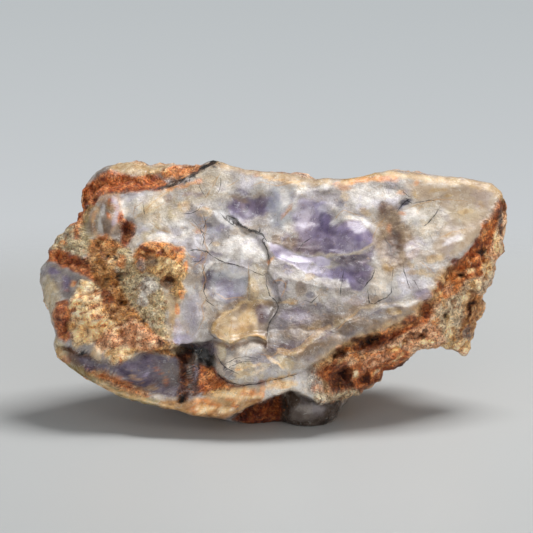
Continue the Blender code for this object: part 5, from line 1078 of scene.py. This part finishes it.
# Fine veins in the opal, honey or rust coloured: half width in mm, path
VEINS = (
    (0.30, ((-16.5, 50.4), (-15.1, 47.5), (-15.5, 44.2), (-14.6, 41.4), (-15.8, 38.1), (-15.1, 34.8),
     (-16.5, 31.1))),
    (0.24, ((-18.8, 48.5), (-16.9, 46.6), (-14.6, 45.7))), (0.24, ((-17.4, 42.8), (-15.8, 41.4),
     (-16.5, 39.1), (-18.4, 37.7))),
    (0.22, ((-14.6, 31.1), (-16, 28.7), (-15.5, 25.9), (-16.9, 23.1))), (0.20, ((-20.2, 42.4),
     (-18.8, 40.5), (-16.9, 40))),
    (0.17, ((-11.3, 60.7), (-13.2, 57.4), (-15.3, 53.7))), (0.14, ((-7.1, 58.8), (-8.9, 57.4),
     (-10.6, 56.5))),
    (0.19, ((-23.5, 56), (-26.4, 54.1), (-28.5, 52.2), (-29.7, 50.4))), (0.14, ((-24.7, 53), (-27.1, 51.8),
     (-28.9, 50.6))),
    (0.17, ((-32.2, 49.9), (-31.8, 52), (-29.9, 53.2))), (0.19, ((-25.2, 55.8), (-23.1, 56.5), (-20, 57),
     (-16.2, 58.1))),
    (0.19, ((-4.7, 56.7), (-1.9, 57.9), (1.4, 57), (4.7, 57.7), (7.5, 58.1))), (0.26, ((2.8, 49.4),
     (5.4, 52.2))),
    (0.22, ((-0.5, 38.1), (0.9, 40.5))), (0.17, ((15.1, 48.5), (16.2, 50.4), (17.4, 51.5), (19.1, 50.6),
     (21.4, 49.9))),
    (0.22, ((40, 44.7), (42.8, 46.1), (46.6, 46.8))), (0.20, ((0.5, 33.4), (0.9, 34.6), (2.6, 34.8),
     (3.8, 33.9), (3.3, 32), (2.4, 30.4))),
    (0.22, ((-12.9, 32), (-10.4, 30.4), (-7.5, 30.8), (-5.4, 30.4))), (0.19, ((-5.2, 38.8), (-4.9, 35.3),
     (-5.4, 30.6))),
    (0.17, ((0.9, 19.1), (4.7, 18.4), (7.1, 19.3), (8.9, 21.2), (11.3, 23.3), (13.4, 24))), (0.19,
     ((3.1, 29.7), (5.2, 29.4), (6.8, 30.1))),
    (0.19, ((-9.2, 19.8), (-9.4, 22.6), (-8.9, 25.4))), (0.15, ((-17.4, 47.5), (-15.3, 48.5),
     (-13.6, 50.4))),
    (0.19, ((15.5, 23.1), (18.4, 25.7), (21.2, 28))), (0.17, ((31.5, 51.3), (34.8, 52.7), (40, 53.9),
     (47.1, 53.4))),
    (0.17, ((24, 44.2), (25.4, 47.5), (27.3, 49.9))), (0.19, ((-28.2, 48.5), (-25.9, 46.6), (-23.1, 45.9))),
    (0.19, ((-3.3, 17.9), (0.5, 16.9), (2.4, 18.4))), (0.15, ((35.3, 39.1), (37.2, 37.7), (39.1, 35.8))),
)

# Dark cracks, a few of them partly painted shadow lines along edges: half width in mm, path
CRACKS = (
    (0.60, ((-26.8, 56.2), (-24.9, 56.7), (-23.3, 57.1), (-21.7, 57.4))), (0.70, ((-24.5, 57.2),
     (-22.6, 57.9), (-20.9, 58.4), (-19.8, 59.1))),
    (0.50, ((-23.8, 57.9), (-21.9, 58.8), (-20.5, 59.5))), (0.90, ((-21.7, 57.9), (-20, 58.6),
     (-18.6, 59.4), (-16.9, 60.2))),
    (0.60, ((-19.8, 58.1), (-17.9, 59.2), (-16, 60.2))), (1.00, ((-18.8, 59.8), (-17.4, 60.5), (-16, 61.2),
     (-14.4, 61.8))),
    (0.90, ((-16.9, 61.4), (-15.5, 62.2), (-14.1, 62.8), (-12.5, 62.8))), (0.70, ((-15.5, 61),
     (-14.1, 61.7), (-12.9, 62.1), (-11.8, 61.9))),
    # the first two: dark lines under the shell flake's lower edge, partly painted shadow
    (0.20, ((-13.2, 13.6), (-10.8, 11.5), (-8.9, 10.7), (-5.9, 10.2), (-2.8, 10.6), (0.5, 11.4))), (0.14,
     ((0, 11.3), (3.3, 12), (6.6, 12.9))),
    (0.09, ((-17.2, 57.9), (-16.2, 56), (-15.5, 54.6))), (0.08, ((-11.5, 59.3), (-11.8, 56.5),
     (-12.5, 54.8))),
    (0.09, ((-20.5, 50.4), (-18.8, 50.4), (-16.9, 51.3), (-16.2, 52.5))), (0.14, ((-19.3, 41.7),
     (-17.4, 42.1), (-15.1, 41.7), (-13.2, 40.2))),
    (0.45, ((-9.6, 49.7), (-8, 49.2), (-7.1, 47.8), (-5.4, 46.8), (-3.3, 46.1), (-1.9, 45.7),
     (-0.9, 44.2))), (0.15, ((-2.1, 45.7), (-2.4, 47.3))),
    (0.19, ((-11.5, 50.1), (-9.9, 48.7), (-8, 47.5))), (0.19, ((-1.9, 44.7), (-0.5, 41.4), (0, 39.1))),
    (0.17, ((-14.8, 41.2), (-13.4, 40.5), (-11.3, 39.1), (-8.2, 38.4), (-5.2, 37.4))), (0.10, ((-5.2, 37.4),
     (-2.4, 36.2), (-0.9, 35.5))),
    (0.15, ((-16.5, 47.1), (-15.5, 44.7), (-15.8, 42.4))), (0.11, ((-18.8, 39.1), (-16.9, 39.1),
     (-15.1, 40.2))),
    (0.10, ((-15.8, 50.4), (-15.1, 48.5), (-16, 46.4))), (0.08, ((-17.9, 48.5), (-16.2, 46.4),
     (-14.4, 45.4))),
    (0.10, ((-15.1, 38.6), (-15.8, 36.7), (-15.3, 34.6))), (0.08, ((-13.4, 44.2), (-14.6, 42.6))),
    (0.12, ((11.3, 31.1), (9.9, 29.7), (8, 30.1))), (0.12, ((31.1, 56), (32.5, 54.6), (33.9, 54.6))),
    (0.14, ((-29.9, 53), (-29.4, 50.1))), (0.22, ((24.5, 37.2), (24, 35.3), (22.6, 33.9), (22.1, 33.2))),
    (0.17, ((22.8, 32.5), (23.1, 30.8), (23.5, 29.4), (24.5, 29.2), (25.7, 30.1), (27.3, 30.6),
     (28.5, 31.8), (28.5, 33.9))),
    (0.12, ((28.9, 37.7), (28.7, 35.3))), (0.15, ((31.3, 37.9), (32, 35.3), (32.9, 32.9))), (0.10,
     ((33.7, 34.8), (35.3, 32.5))),
    (0.11, ((17.4, 37.2), (16.9, 34.4), (16.5, 30.8))), (0.16, ((40, 51.8), (38.6, 49.9), (37.4, 48.5),
     (36.2, 47.5), (35.3, 47.5))),
    # a dark line along the step of the crack: partly the crack and partly painted shadow
    (0.15, ((-0.9, 36.2), (-0.9, 33.7), (0, 31.1), (1.4, 29.9), (2.1, 28.5), (1.2, 26.8), (-0.2, 24.7),
     (-0.7, 21.9), (-0.9, 20.2))),
    (0.22, ((30.1, 51.3), (31.1, 52.5), (32.2, 53.7), (33.4, 53))), (0.10, ((33.4, 53), (37.7, 53.7),
     (40, 53.2))),
    (0.11, ((6.4, 41.7), (7.8, 43.5), (9.9, 45))),
    (0.14, ((-12.7, 17.9), (-11.8, 15.8), (-9.9, 14.1), (-7.1, 12.7))), (0.12, ((-10.6, 15.3), (-8.2, 16.5),
     (-5.4, 16.9), (-2.8, 16.5))),
    (0.10, ((-11.5, 12.9), (-9.2, 14.8), (-6.4, 15.8))), (0.11, ((-7.5, 15.3), (-5.6, 15.8), (-2.8, 16))),
     (0.12, ((-15.1, 30.1), (-13.9, 29.2), (-12.9, 28.5))),
    (0.19, ((-15.3, 34.4), (-15.5, 32), (-14.6, 30.1))), (0.12, ((26.8, 45.2), (28.2, 42.8), (28.7, 40.5))),
)

CRUSTY = ("rind", "rust", "brick", "salmon", "rubble", "brown", "cream", "moss", "olive", "tan", "orange")
GLASSY = ("hood", "violet", "dusk", "lilac", "buff", "frost", "shade")
SHEEN = 0.02                     # what the surface's gloss adds to its own light
MOTTLE_GAIN = 2.1
EDGE_WAVE, EDGE_RIPPLE = (0.6, 3.0), (0.8, 2.0)    # how far the painted edges wander, over what length
EDGE_ROOM = 3                    # only points this near an outline are measured against it
LOOSE_EDGE = 1.2                 # edges softer than this wander in full, crisper ones less
PATCH_SIZE, SPECK_SIZE = 9.0, 3.5
BEHIND_FACE = (4.0, 9.0)         # the painting ends this far behind the face,
ABOVE_BASE = (14.0, 22.0)        # except low down, where the underside has it too
TURNED_AWAY = (-0.18, 0.02)      # and where the surface turns away from the front
LINE_SWAY = (0.25, 2.0)          # how far cracks and veins wander, over what length
LINE_END = 0.3                   # they stop where the surface turns this far from the front
OUT_OF_REACH = 9.0


def linear(colour):
    """Linear light from display values 0 to 255, less the sheen that the surface adds."""
    return np.maximum((np.array(colour) / 255.0) ** 2.2 - SHEEN, 0.002)


def tone_of(name, mottle):
    """The tone's colour at each point: dark to middle to light as its mottling goes from -1 to 1."""
    dark, middle, light = (linear(c) for c in TONES[name][:3])
    n = np.clip(mottle[TONES[name][3]], -1, 1)[:, None]
    return np.where(n < 0, middle + (dark - middle) * -n, middle + (light - middle) * n)


def mottling(points):
    """Noise of every size that the tones use, about -1 to 1."""
    sizes = sorted({tone[3] for tone in TONES.values()})
    return {size: MOTTLE_GAIN * layered(points, size, 2, 90 + int(10 * size)) for size in sizes}


def laid_over(colour, name, share, mottle):
    """The colour with a tone laid over it by its share."""
    return colour + (tone_of(name, mottle) - colour) * share[:, None]


def within(u, v, outline, soft, ripple):
    """1 inside an outline and 0 outside, with a soft edge moved by the ripple."""
    outline_u, outline_v = zip(*outline)
    near = (u > min(outline_u) - EDGE_ROOM) & (u < max(outline_u) + EDGE_ROOM)
    near &= (v > min(outline_v) - EDGE_ROOM) & (v < max(outline_v) + EDGE_ROOM)
    share = np.zeros(u.shape)
    share[near] = smoothstep(0.5 * soft, -0.5 * soft, outside(u[near], v[near], outline) + ripple[near])
    return share


def cover(u, v, names, least, ripple):
    """How much the fields of the named tones cover each point, of those at least that strong."""
    total = np.zeros(u.shape)
    for name, strength, soft, outline in FIELDS:
        if name in names and strength >= least:
            total = np.maximum(total, strength * within(u, v, outline, soft, ripple))
    return total


def painted(points, u, v, away):
    """The stone's colour at each point. On the face, fields, spots and streaks are laid over milky opal in
    turn, each with an edge broken up by noise; the back is crust, mixed from its tones by noise."""
    mottle = mottling(points)
    wave_u = u + EDGE_WAVE[0] * layered(points, EDGE_WAVE[1], 3, 15)
    wave_v = v + EDGE_WAVE[0] * layered(points, EDGE_WAVE[1], 3, 16)
    ripple = EDGE_RIPPLE[0] * layered(points, EDGE_RIPPLE[1], 2, 17)
    colour = tone_of("milk", mottle)
    for name, strength, soft, outline in FIELDS:
        loose = min(soft, LOOSE_EDGE) / LOOSE_EDGE
        near_u, near_v = u + loose * (wave_u - u), v + loose * (wave_v - v)
        share = strength * within(near_u, near_v, outline, soft, loose * ripple)
        colour = laid_over(colour, name, share, mottle)
    for name, strength, *ovals in SPOTS:
        for shape in ovals:
            reach = oval(wave_u, wave_v, *shape) + ripple / (0.4 + shape[3])
            colour = laid_over(colour, name, strength * smoothstep(1.25, 0.8, reach), mottle)
    for name, strength, width, path in STREAKS:
        distance = np.hypot(*nearest(wave_u, wave_v, path)[:2])
        share = strength * smoothstep(0.9 * width, 0.3 * width, distance + 0.5 * ripple)
        colour = laid_over(colour, name, share, mottle)

    crust = tone_of("rind", mottle)
    patches = layered(points, PATCH_SIZE, 3, 41)
    specks = layered(points, SPECK_SIZE, 3, 44)
    for name, low, field in (("cream", 0.05, patches), ("salmon", -0.1, -patches), ("rust", 0.15, specks),
                             ("brick", 0.35, specks), ("tan", 0.25, -patches), ("rubble", 0.25, -specks)):
        crust = laid_over(crust, name, smoothstep(low, low + 0.25, field), mottle)
    behind = smoothstep(*BEHIND_FACE, points[:, 1] - face(points[:, 0], points[:, 2]))
    behind = behind * smoothstep(*ABOVE_BASE, points[:, 2])
    shows = smoothstep(*TURNED_AWAY, -away[:, 1]) * (1 - behind)
    return crust + (colour - crust) * shows[:, None]


def line_field(u, v, lines):
    """Distance from the nearest line in its own half widths, with a sign for its side, and the plain
    distance. Lines thin out towards their ends."""
    best, signed = np.full(u.shape, 1e9), np.full(u.shape, 1e9)
    for half_width, path in lines:
        past, along = across(u, v, path)
        reach = np.maximum(np.abs(past) - half_width, 0)
        taper = 0.25 + 0.75 * smoothstep(0, 0.2, along) * smoothstep(1, 0.75, along)
        near = reach < best
        signed = np.where(near, past / (half_width * taper), signed)
        best = np.where(near, reach, best)
    return np.clip(signed, -12, 12), np.clip(best, 0, 5)


def add_stone(name):
    """The stone's object: the points moved onto the floor frame, with its colours as attributes."""
    points, quads, plain, crust, cavity, glassy = rough_surface(CELLS)
    x, y, z = lean_to_floor(*points.T)
    x, y, z = x - REST_SPOT[0], y - REST_SPOT[1], np.maximum(z, 0.0)
    mesh = bpy.data.meshes.new(name)
    mesh.from_pydata(np.column_stack([x, y, z]) * MM, [], quads.tolist())
    away = outward(points, quads)
    u = points[:, 0] + LINE_SWAY[0] * layered(plain, LINE_SWAY[1], 2, 18)
    v = points[:, 2] + LINE_SWAY[0] * layered(plain, LINE_SWAY[1], 2, 19)
    hidden = OUT_OF_REACH * (away[:, 1] > LINE_END)
    fields = {"crust": crust, "cavity": cavity, "glassy": glassy}
    for kind, lines in (("crack", CRACKS), ("vein", VEINS)):
        fields[kind + "_side"], near = line_field(u, v, lines)
        fields[kind + "_near"] = near + hidden
    for field, values in fields.items():
        mesh.attributes.new(field, "FLOAT", "POINT").data.foreach_set("value", values)
    colour = np.clip(painted(plain, points[:, 0], points[:, 2], away), 0, 1)
    rgba = np.column_stack([colour, np.ones(len(colour))])
    mesh.attributes.new("tint", "FLOAT_COLOR", "POINT").data.foreach_set("color", rgba.ravel())
    mesh.polygons.foreach_set("use_smooth", np.ones(len(quads), bool))
    mesh.update()
    stone_object = bpy.data.objects.new(name, mesh)
    bpy.context.scene.collection.objects.link(stone_object)
    return stone_object


def opal_material(name):
    """Opal and crust in one: the painted tint, grained finely where it is crust, with painted shade in its
    pores and painted light on its grains, and clouded where it is opal, with thin dark cracks, a few of them
    partly painted shadow lines. Opal is smooth and crust is rough, and both let a little light in."""
    material = bpy.data.materials.new(name)
    material.use_nodes = True
    nodes, links = material.node_tree.nodes, material.node_tree.links
    shader = nodes["Principled BSDF"]
    place = nodes.new("ShaderNodeTexCoord").outputs["Object"]

    def attribute(field, output):
        """A value or colour that the mesh carries at each point."""
        node = nodes.new("ShaderNodeAttribute")
        node.attribute_name = field
        return node.outputs[output]

    def maths(operation, a, b=None, c=None):
        """One sum on up to three numbers or outputs; MULTIPLY_ADD is a times b, plus c."""
        node = nodes.new("ShaderNodeMath")
        node.operation = operation
        for socket, value in zip(node.inputs, (a, b, c)):
            if isinstance(value, (int, float)):
                socket.default_value = value
            elif value is not None:
                links.new(value, socket)
        return node.outputs[0]

    def between(value, low, high):
        """0 where the value is low, 1 where it is high and an S-curve between."""
        node = nodes.new("ShaderNodeMapRange")
        node.interpolation_type = "SMOOTHSTEP"
        links.new(value, node.inputs["Value"])
        node.inputs["From Min"].default_value, node.inputs["From Max"].default_value = low, high
        return node.outputs["Result"]

    def grain(where, size, detail, roughness):
        """Noise from 0 to 1 of the size in millimetres, with finer layers over it."""
        node = nodes.new("ShaderNodeTexNoise")
        links.new(where, node.inputs["Vector"])
        node.inputs["Scale"].default_value = 1.0 / (size * MM)
        node.inputs["Detail"].default_value = detail
        node.inputs["Roughness"].default_value = roughness
        return node.outputs["Fac"]

    def mixed(blend, part, a, b):
        """Colour a with the part of colour b laid over it."""
        node = nodes.new("ShaderNodeMix")
        node.data_type, node.blend_type = "RGBA", blend
        for index, value in ((0, part), (6, a), (7, b)):
            if isinstance(value, (int, float, tuple)):
                node.inputs[index].default_value = value
            else:
                links.new(value, node.inputs[index])
        return node.outputs[2]

    def cells(size, feature):
        """Distance to the middle or the edge of scattered cells of the size in millimetres."""
        node = nodes.new("ShaderNodeTexVoronoi")
        node.feature = feature
        links.new(swirled, node.inputs["Vector"])
        node.inputs["Scale"].default_value = 1.0 / (size * MM)
        return node.outputs["Distance"]

    crust = attribute("crust", "Fac")
    opal = maths("SUBTRACT", 1.0, crust)
    cavity = attribute("cavity", "Fac")
    stony = maths("MULTIPLY_ADD", attribute("glassy", "Fac"), -0.75, opal)
    bend = nodes.new("ShaderNodeTexNoise")
    links.new(place, bend.inputs["Vector"])
    bend.inputs["Scale"].default_value = 1.0 / (3.0 * MM)
    shift = nodes.new("ShaderNodeVectorMath")
    shift.operation = "MULTIPLY_ADD"
    links.new(bend.outputs["Color"], shift.inputs[0])
    shift.inputs[1].default_value = (3.0 * MM,) * 3
    links.new(place, shift.inputs[2])
    swirled = shift.outputs["Vector"]
    grit = grain(place, 1.2, 5.0, 0.65)
    sand = grain(place, 0.42, 3.0, 0.7)
    flecks = grain(place, 0.95, 4.0, 0.6)
    marble = grain(swirled, 3.0, 7.0, 0.62)
    clouds = grain(swirled, 6.5, 5.0, 0.6)
    granules = cells(0.9, "F1")
    hairs = cells(4.5, "DISTANCE_TO_EDGE")

    def share(value, low, high, strength, where):
        """How much of a tint lies at each point: the value from low to high, times its strength and place."""
        return maths("MULTIPLY", maths("MULTIPLY", between(value, low, high), where), strength)

    # Crust: darker and redder in its pits, pores and the crevices between its grains, as painted shade,
    # and lighter on its grains and lumps, as painted light, all following its bump; flecked with rust;
    # fewer flecks and less painted shade where it is cream.
    # Then opal: smoky depths, milky wisps, warm and cool clouds and fine sand.
    # Each row: how it is mixed, its noise, from where to where, its strength, on what, its colour
    tint = attribute("tint", "Color")
    bright = nodes.new("ShaderNodeRGBToBW")
    links.new(tint, bright.inputs["Color"])
    pale_tint = between(bright.outputs["Val"], 0.52, 0.68)
    rust_and_pore_shade = maths("MULTIPLY", crust, maths("MULTIPLY_ADD", pale_tint, -0.65, 1.0))
    for blend, field, low, high, strength, where, colour in (
            # crust rows: painted shade where the bump lies low, painted light where it stands high, and rust
            # flecks
            ("MULTIPLY", cavity, 0.45, 1.2, 0.6, crust, (0.40, 0.22, 0.13, 1.0)),
            ("MULTIPLY", cavity, 0.30, -0.30, 0.7, crust, (1.45, 1.40, 1.30, 1.0)),
            ("MIX", flecks, 0.56, 0.60, 0.48, rust_and_pore_shade, (0.45, 0.16, 0.05, 1.0)),
            ("MULTIPLY", grit, 0.42, 0.37, 0.75, rust_and_pore_shade, (0.32, 0.19, 0.11, 1.0)),
            ("MULTIPLY", grit, 0.50, 0.57, 0.8, crust, (1.60, 1.58, 1.50, 1.0)),
            ("MULTIPLY", sand, 0.45, 0.38, 1.0, rust_and_pore_shade, (0.40, 0.28, 0.20, 1.0)),
            ("MULTIPLY", sand, 0.53, 0.62, 0.95, crust, (1.60, 1.58, 1.52, 1.0)),
            ("MULTIPLY", granules, 0.45, 0.80, 0.25, rust_and_pore_shade, (0.45, 0.30, 0.20, 1.0)),
            ("MULTIPLY", marble, 0.475, 0.41, 0.14, stony, (0.62, 0.58, 0.62, 1.0)),
            ("MULTIPLY", marble, 0.525, 0.57, 0.22, stony, (1.32, 1.32, 1.31, 1.0)),
            ("MIX", flecks, 0.60, 0.68, 0.35, stony, (0.50, 0.33, 0.18, 1.0)),
            ("MULTIPLY", clouds, 0.52, 0.59, 0.5, stony, (1.08, 0.94, 0.74, 1.0)),
            ("MULTIPLY", clouds, 0.48, 0.40, 0.7, opal, (0.91, 0.91, 1.06, 1.0)),
            ("MULTIPLY", sand, 0.46, 0.38, 0.22, stony, (0.60, 0.54, 0.56, 1.0)),
            ("MULTIPLY", sand, 0.54, 0.62, 0.45, stony, (1.40, 1.40, 1.40, 1.0))):
        tint = mixed(blend, share(field, low, high, strength, where), tint, colour)

    # Hair cracks and threads, then its veins and cracks, a few of these partly painted shadow lines
    contour = maths("ABSOLUTE", maths("SUBTRACT", marble, 0.5))
    crazing = maths("MULTIPLY", share(contour, 0.012, 0.003, 0.65, opal), between(grit, 0.46, 0.54))
    tint = mixed("MULTIPLY", crazing, tint, (0.52, 0.42, 0.36, 1.0))
    threads = maths("ABSOLUTE", maths("SUBTRACT", clouds, 0.53))
    threads = maths("MULTIPLY", share(threads, 0.010, 0.002, 0.30, opal), between(grit, 0.54, 0.46))
    tint = mixed("MIX", threads, tint, (0.80, 0.80, 0.78, 1.0))
    hair = maths("MULTIPLY", share(hairs, 0.016, 0.004, 0.45, opal), between(grit, 0.48, 0.56))
    tint = mixed("MIX", hair, tint, (0.12, 0.10, 0.11, 1.0))
    for kind, strength, colour in (("vein", 0.5, (0.46, 0.25, 0.09, 1.0)),
                                   ("crack", 0.98, (0.012, 0.010, 0.010, 1.0))):
        side = maths("ABSOLUTE", attribute(kind + "_side", "Fac"))
        patchy = maths("MULTIPLY_ADD", between(sand, 0.42, 0.58), 0.6, 0.2)
        patchy = maths("MULTIPLY_ADD", between(grit, 0.40, 0.60), 0.7, patchy)
        line = between(maths("DIVIDE", side, patchy), 1.1, 0.5)
        line = maths("MULTIPLY", line, maths("MULTIPLY_ADD", between(sand, 0.60, 0.46), 0.2, 0.8))
        line = maths("MULTIPLY", line, between(attribute(kind + "_near", "Fac"), 0.8, 0.4))
        tint = mixed("MIX", maths("MULTIPLY", line, strength), tint, colour)
    links.new(tint, shader.inputs["Base Color"])

    roughness = maths("MULTIPLY_ADD", crust, 0.14, maths("MULTIPLY", grit, 0.50))
    links.new(roughness, shader.inputs["Roughness"])
    shader.inputs["IOR"].default_value = 1.46
    shader.inputs["Subsurface Weight"].default_value = 0.12
    shader.inputs["Subsurface Radius"].default_value = (1.0, 0.85, 0.75)
    shader.inputs["Subsurface Scale"].default_value = 0.0012

    height = maths("SUBTRACT", maths("MULTIPLY_ADD", grit, 1.6, sand), maths("MULTIPLY", granules, 0.8))
    height = maths("MULTIPLY", height, crust)
    ripples = maths("MULTIPLY_ADD", marble, 0.6, maths("MULTIPLY", sand, 0.2))
    height = maths("MULTIPLY_ADD", ripples, stony, height)
    bump = nodes.new("ShaderNodeBump")
    bump.inputs["Strength"].default_value = 0.9
    bump.inputs["Distance"].default_value = 0.7 * MM
    links.new(height, bump.inputs["Height"])
    links.new(bump.outputs["Normal"], shader.inputs["Normal"])
    return material


stone_piece = add_stone("rough_opal_skin")
stone_piece.data.materials.append(opal_material("opal_and_crust"))
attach(stone_piece, "root")
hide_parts("rough_opal")

# ---------------------------------------------------------------- the floor
# A round, pale, matt board under the stone. It is there for the picture only, and its rim fades out so
# that it has no visible edge.
FLOOR_RADIUS = 0.230             # metres, as are all lengths from here on
FLOOR_DROP = 0.00005             # just under the stone, so that the two don't share a plane
FLOOR_RINGS = 24
FLOOR_SIDES = 96


def add_floor(name):
    """A flat disc: rings of points at radius r and angle t round the middle, just under the stone's base."""
    r, t = np.meshgrid(np.linspace(0.02, 1.0, FLOOR_RINGS), np.linspace(0, 2 * math.pi, FLOOR_SIDES, False),
                       indexing="ij")
    x, y = FLOOR_RADIUS * r * np.cos(t), FLOOR_RADIUS * r * np.sin(t)
    points = np.column_stack([x.ravel(), y.ravel(), np.full(x.size, -FLOOR_DROP)])
    ring, side = np.meshgrid(np.arange(FLOOR_RINGS - 1), np.arange(FLOOR_SIDES), indexing="ij")
    following = (side + 1) % FLOOR_SIDES
    quads = np.stack([ring * FLOOR_SIDES + side, (ring + 1) * FLOOR_SIDES + side,
                      (ring + 1) * FLOOR_SIDES + following, ring * FLOOR_SIDES + following], -1)
    mesh = bpy.data.meshes.new(name)
    mesh.from_pydata(points, [], quads.reshape(-1, 4).tolist() + [list(range(FLOOR_SIDES))])
    floor_object = bpy.data.objects.new(name, mesh)
    bpy.context.scene.collection.objects.link(floor_object)
    return floor_object


floor = add_floor("floor")
floor_material = bpy.data.materials.new("pale_floor")
floor_material.use_nodes = True
floor_shader = floor_material.node_tree.nodes["Principled BSDF"]
floor_shader.inputs["Base Color"].default_value = (0.47, 0.48, 0.48, 1.0)
floor_shader.inputs["Roughness"].default_value = 0.45
floor_nodes, floor_links = floor_material.node_tree.nodes, floor_material.node_tree.links
floor_place = floor_nodes.new("ShaderNodeTexCoord")
floor_reach = floor_nodes.new("ShaderNodeVectorMath")
floor_reach.operation = "LENGTH"
floor_fade = floor_nodes.new("ShaderNodeMapRange")
floor_fade.interpolation_type = "SMOOTHSTEP"
floor_fade.inputs["From Min"].default_value = FLOOR_RADIUS
floor_fade.inputs["From Max"].default_value = 0.6 * FLOOR_RADIUS
floor_links.new(floor_place.outputs["Object"], floor_reach.inputs[0])
floor_links.new(floor_reach.outputs["Value"], floor_fade.inputs["Value"])
floor_links.new(floor_fade.outputs["Result"], floor_shader.inputs["Alpha"])
floor.data.materials.append(floor_material)

# ---------------------------------------------------------------- the lights
# A strong soft light above, behind and to the right, weaker ones in front, on the left and on the right,
# and a grey-blue sky that lights less than it shows.
SKY_LIGHT, SKY_SHOWN = 0.35, 1.0
SKY_HIGH, SKY_LOW = (0.50, 0.53, 0.545, 1.0), (0.62, 0.64, 0.66, 1.0)
HORIZON = (-0.188, -0.212)       # the upward part of the directions where one passes into the other
LIT_PLACE = (0, 0, 0.03)         # the middle of the stone, which every light faces


def add_light(name, location, size, power, colour):
    """A square soft light at the location, turned to the stone."""
    data = bpy.data.lights.new(name, "AREA")
    data.size, data.energy, data.color = size, power, colour
    lamp = bpy.data.objects.new(name, data)
    lamp.location = location
    lamp.rotation_mode = "QUATERNION"
    away_from_stone = mathutils.Vector(location) - mathutils.Vector(LIT_PLACE)
    lamp.rotation_quaternion = away_from_stone.to_track_quat("Z", "Y")
    bpy.context.scene.collection.objects.link(lamp)


add_light("key", (0.17, 0.13, 0.60), 0.32, 4.6, (1.0, 0.99, 0.98))
add_light("front", (0.00, -0.87, 0.38), 0.50, 2.35, (1.0, 0.99, 0.98))
add_light("left", (-0.45, -0.35, 0.18), 0.30, 0.65, (0.98, 0.99, 1.0))
add_light("right", (0.60, -0.45, 0.08), 0.30, 1.5, (1.0, 0.98, 0.95))

world = bpy.data.worlds.new("soft_sky")
world.use_nodes = True
sky = world.node_tree.nodes["Background"]
seen = world.node_tree.nodes.new("ShaderNodeLightPath")
strength = world.node_tree.nodes.new("ShaderNodeMapRange")
strength.inputs["To Min"].default_value, strength.inputs["To Max"].default_value = SKY_LIGHT, SKY_SHOWN
world.node_tree.links.new(seen.outputs["Is Camera Ray"], strength.inputs["Value"])
world.node_tree.links.new(strength.outputs["Result"], sky.inputs["Strength"])
direction = world.node_tree.nodes.new("ShaderNodeTexCoord")
split = world.node_tree.nodes.new("ShaderNodeSeparateXYZ")
ramp = world.node_tree.nodes.new("ShaderNodeValToRGB")
drop = world.node_tree.nodes.new("ShaderNodeMapRange")
drop.inputs["From Min"].default_value, drop.inputs["From Max"].default_value = HORIZON
world.node_tree.links.new(direction.outputs["Generated"], split.inputs["Vector"])
world.node_tree.links.new(split.outputs["Z"], drop.inputs["Value"])
world.node_tree.links.new(drop.outputs["Result"], ramp.inputs["Fac"])
ramp.color_ramp.elements[0].color = SKY_HIGH
ramp.color_ramp.elements[1].color = SKY_LOW
world.node_tree.links.new(ramp.outputs["Color"], sky.inputs["Color"])
bpy.context.scene.world = world
bpy.context.scene.view_settings.view_transform = "Standard"

# ---------------------------------------------------------------- the camera
# It looks at the broken face from 12 degrees above the floor, from far enough away to keep lines
# parallel, with a long lens that the stone nearly fills.
CAMERA_DISTANCE = 3.0
CAMERA_LENS = 861.0
CAMERA_AIM = (-0.00332, -0.00983, 0.03593)
camera_data = bpy.data.cameras.new("camera")
camera_data.lens = CAMERA_LENS
camera_data.sensor_width = 36.0
camera_data.clip_end = 10.0
camera = bpy.data.objects.new("camera", camera_data)
camera.location = (CAMERA_AIM[0], CAMERA_AIM[1] - CAMERA_DISTANCE * math.cos(LEAN),
                   CAMERA_AIM[2] + CAMERA_DISTANCE * math.sin(LEAN))
camera.rotation_euler = (math.pi / 2 - LEAN, 0.0, 0.0)
bpy.context.scene.collection.objects.link(camera)
bpy.context.scene.camera = camera
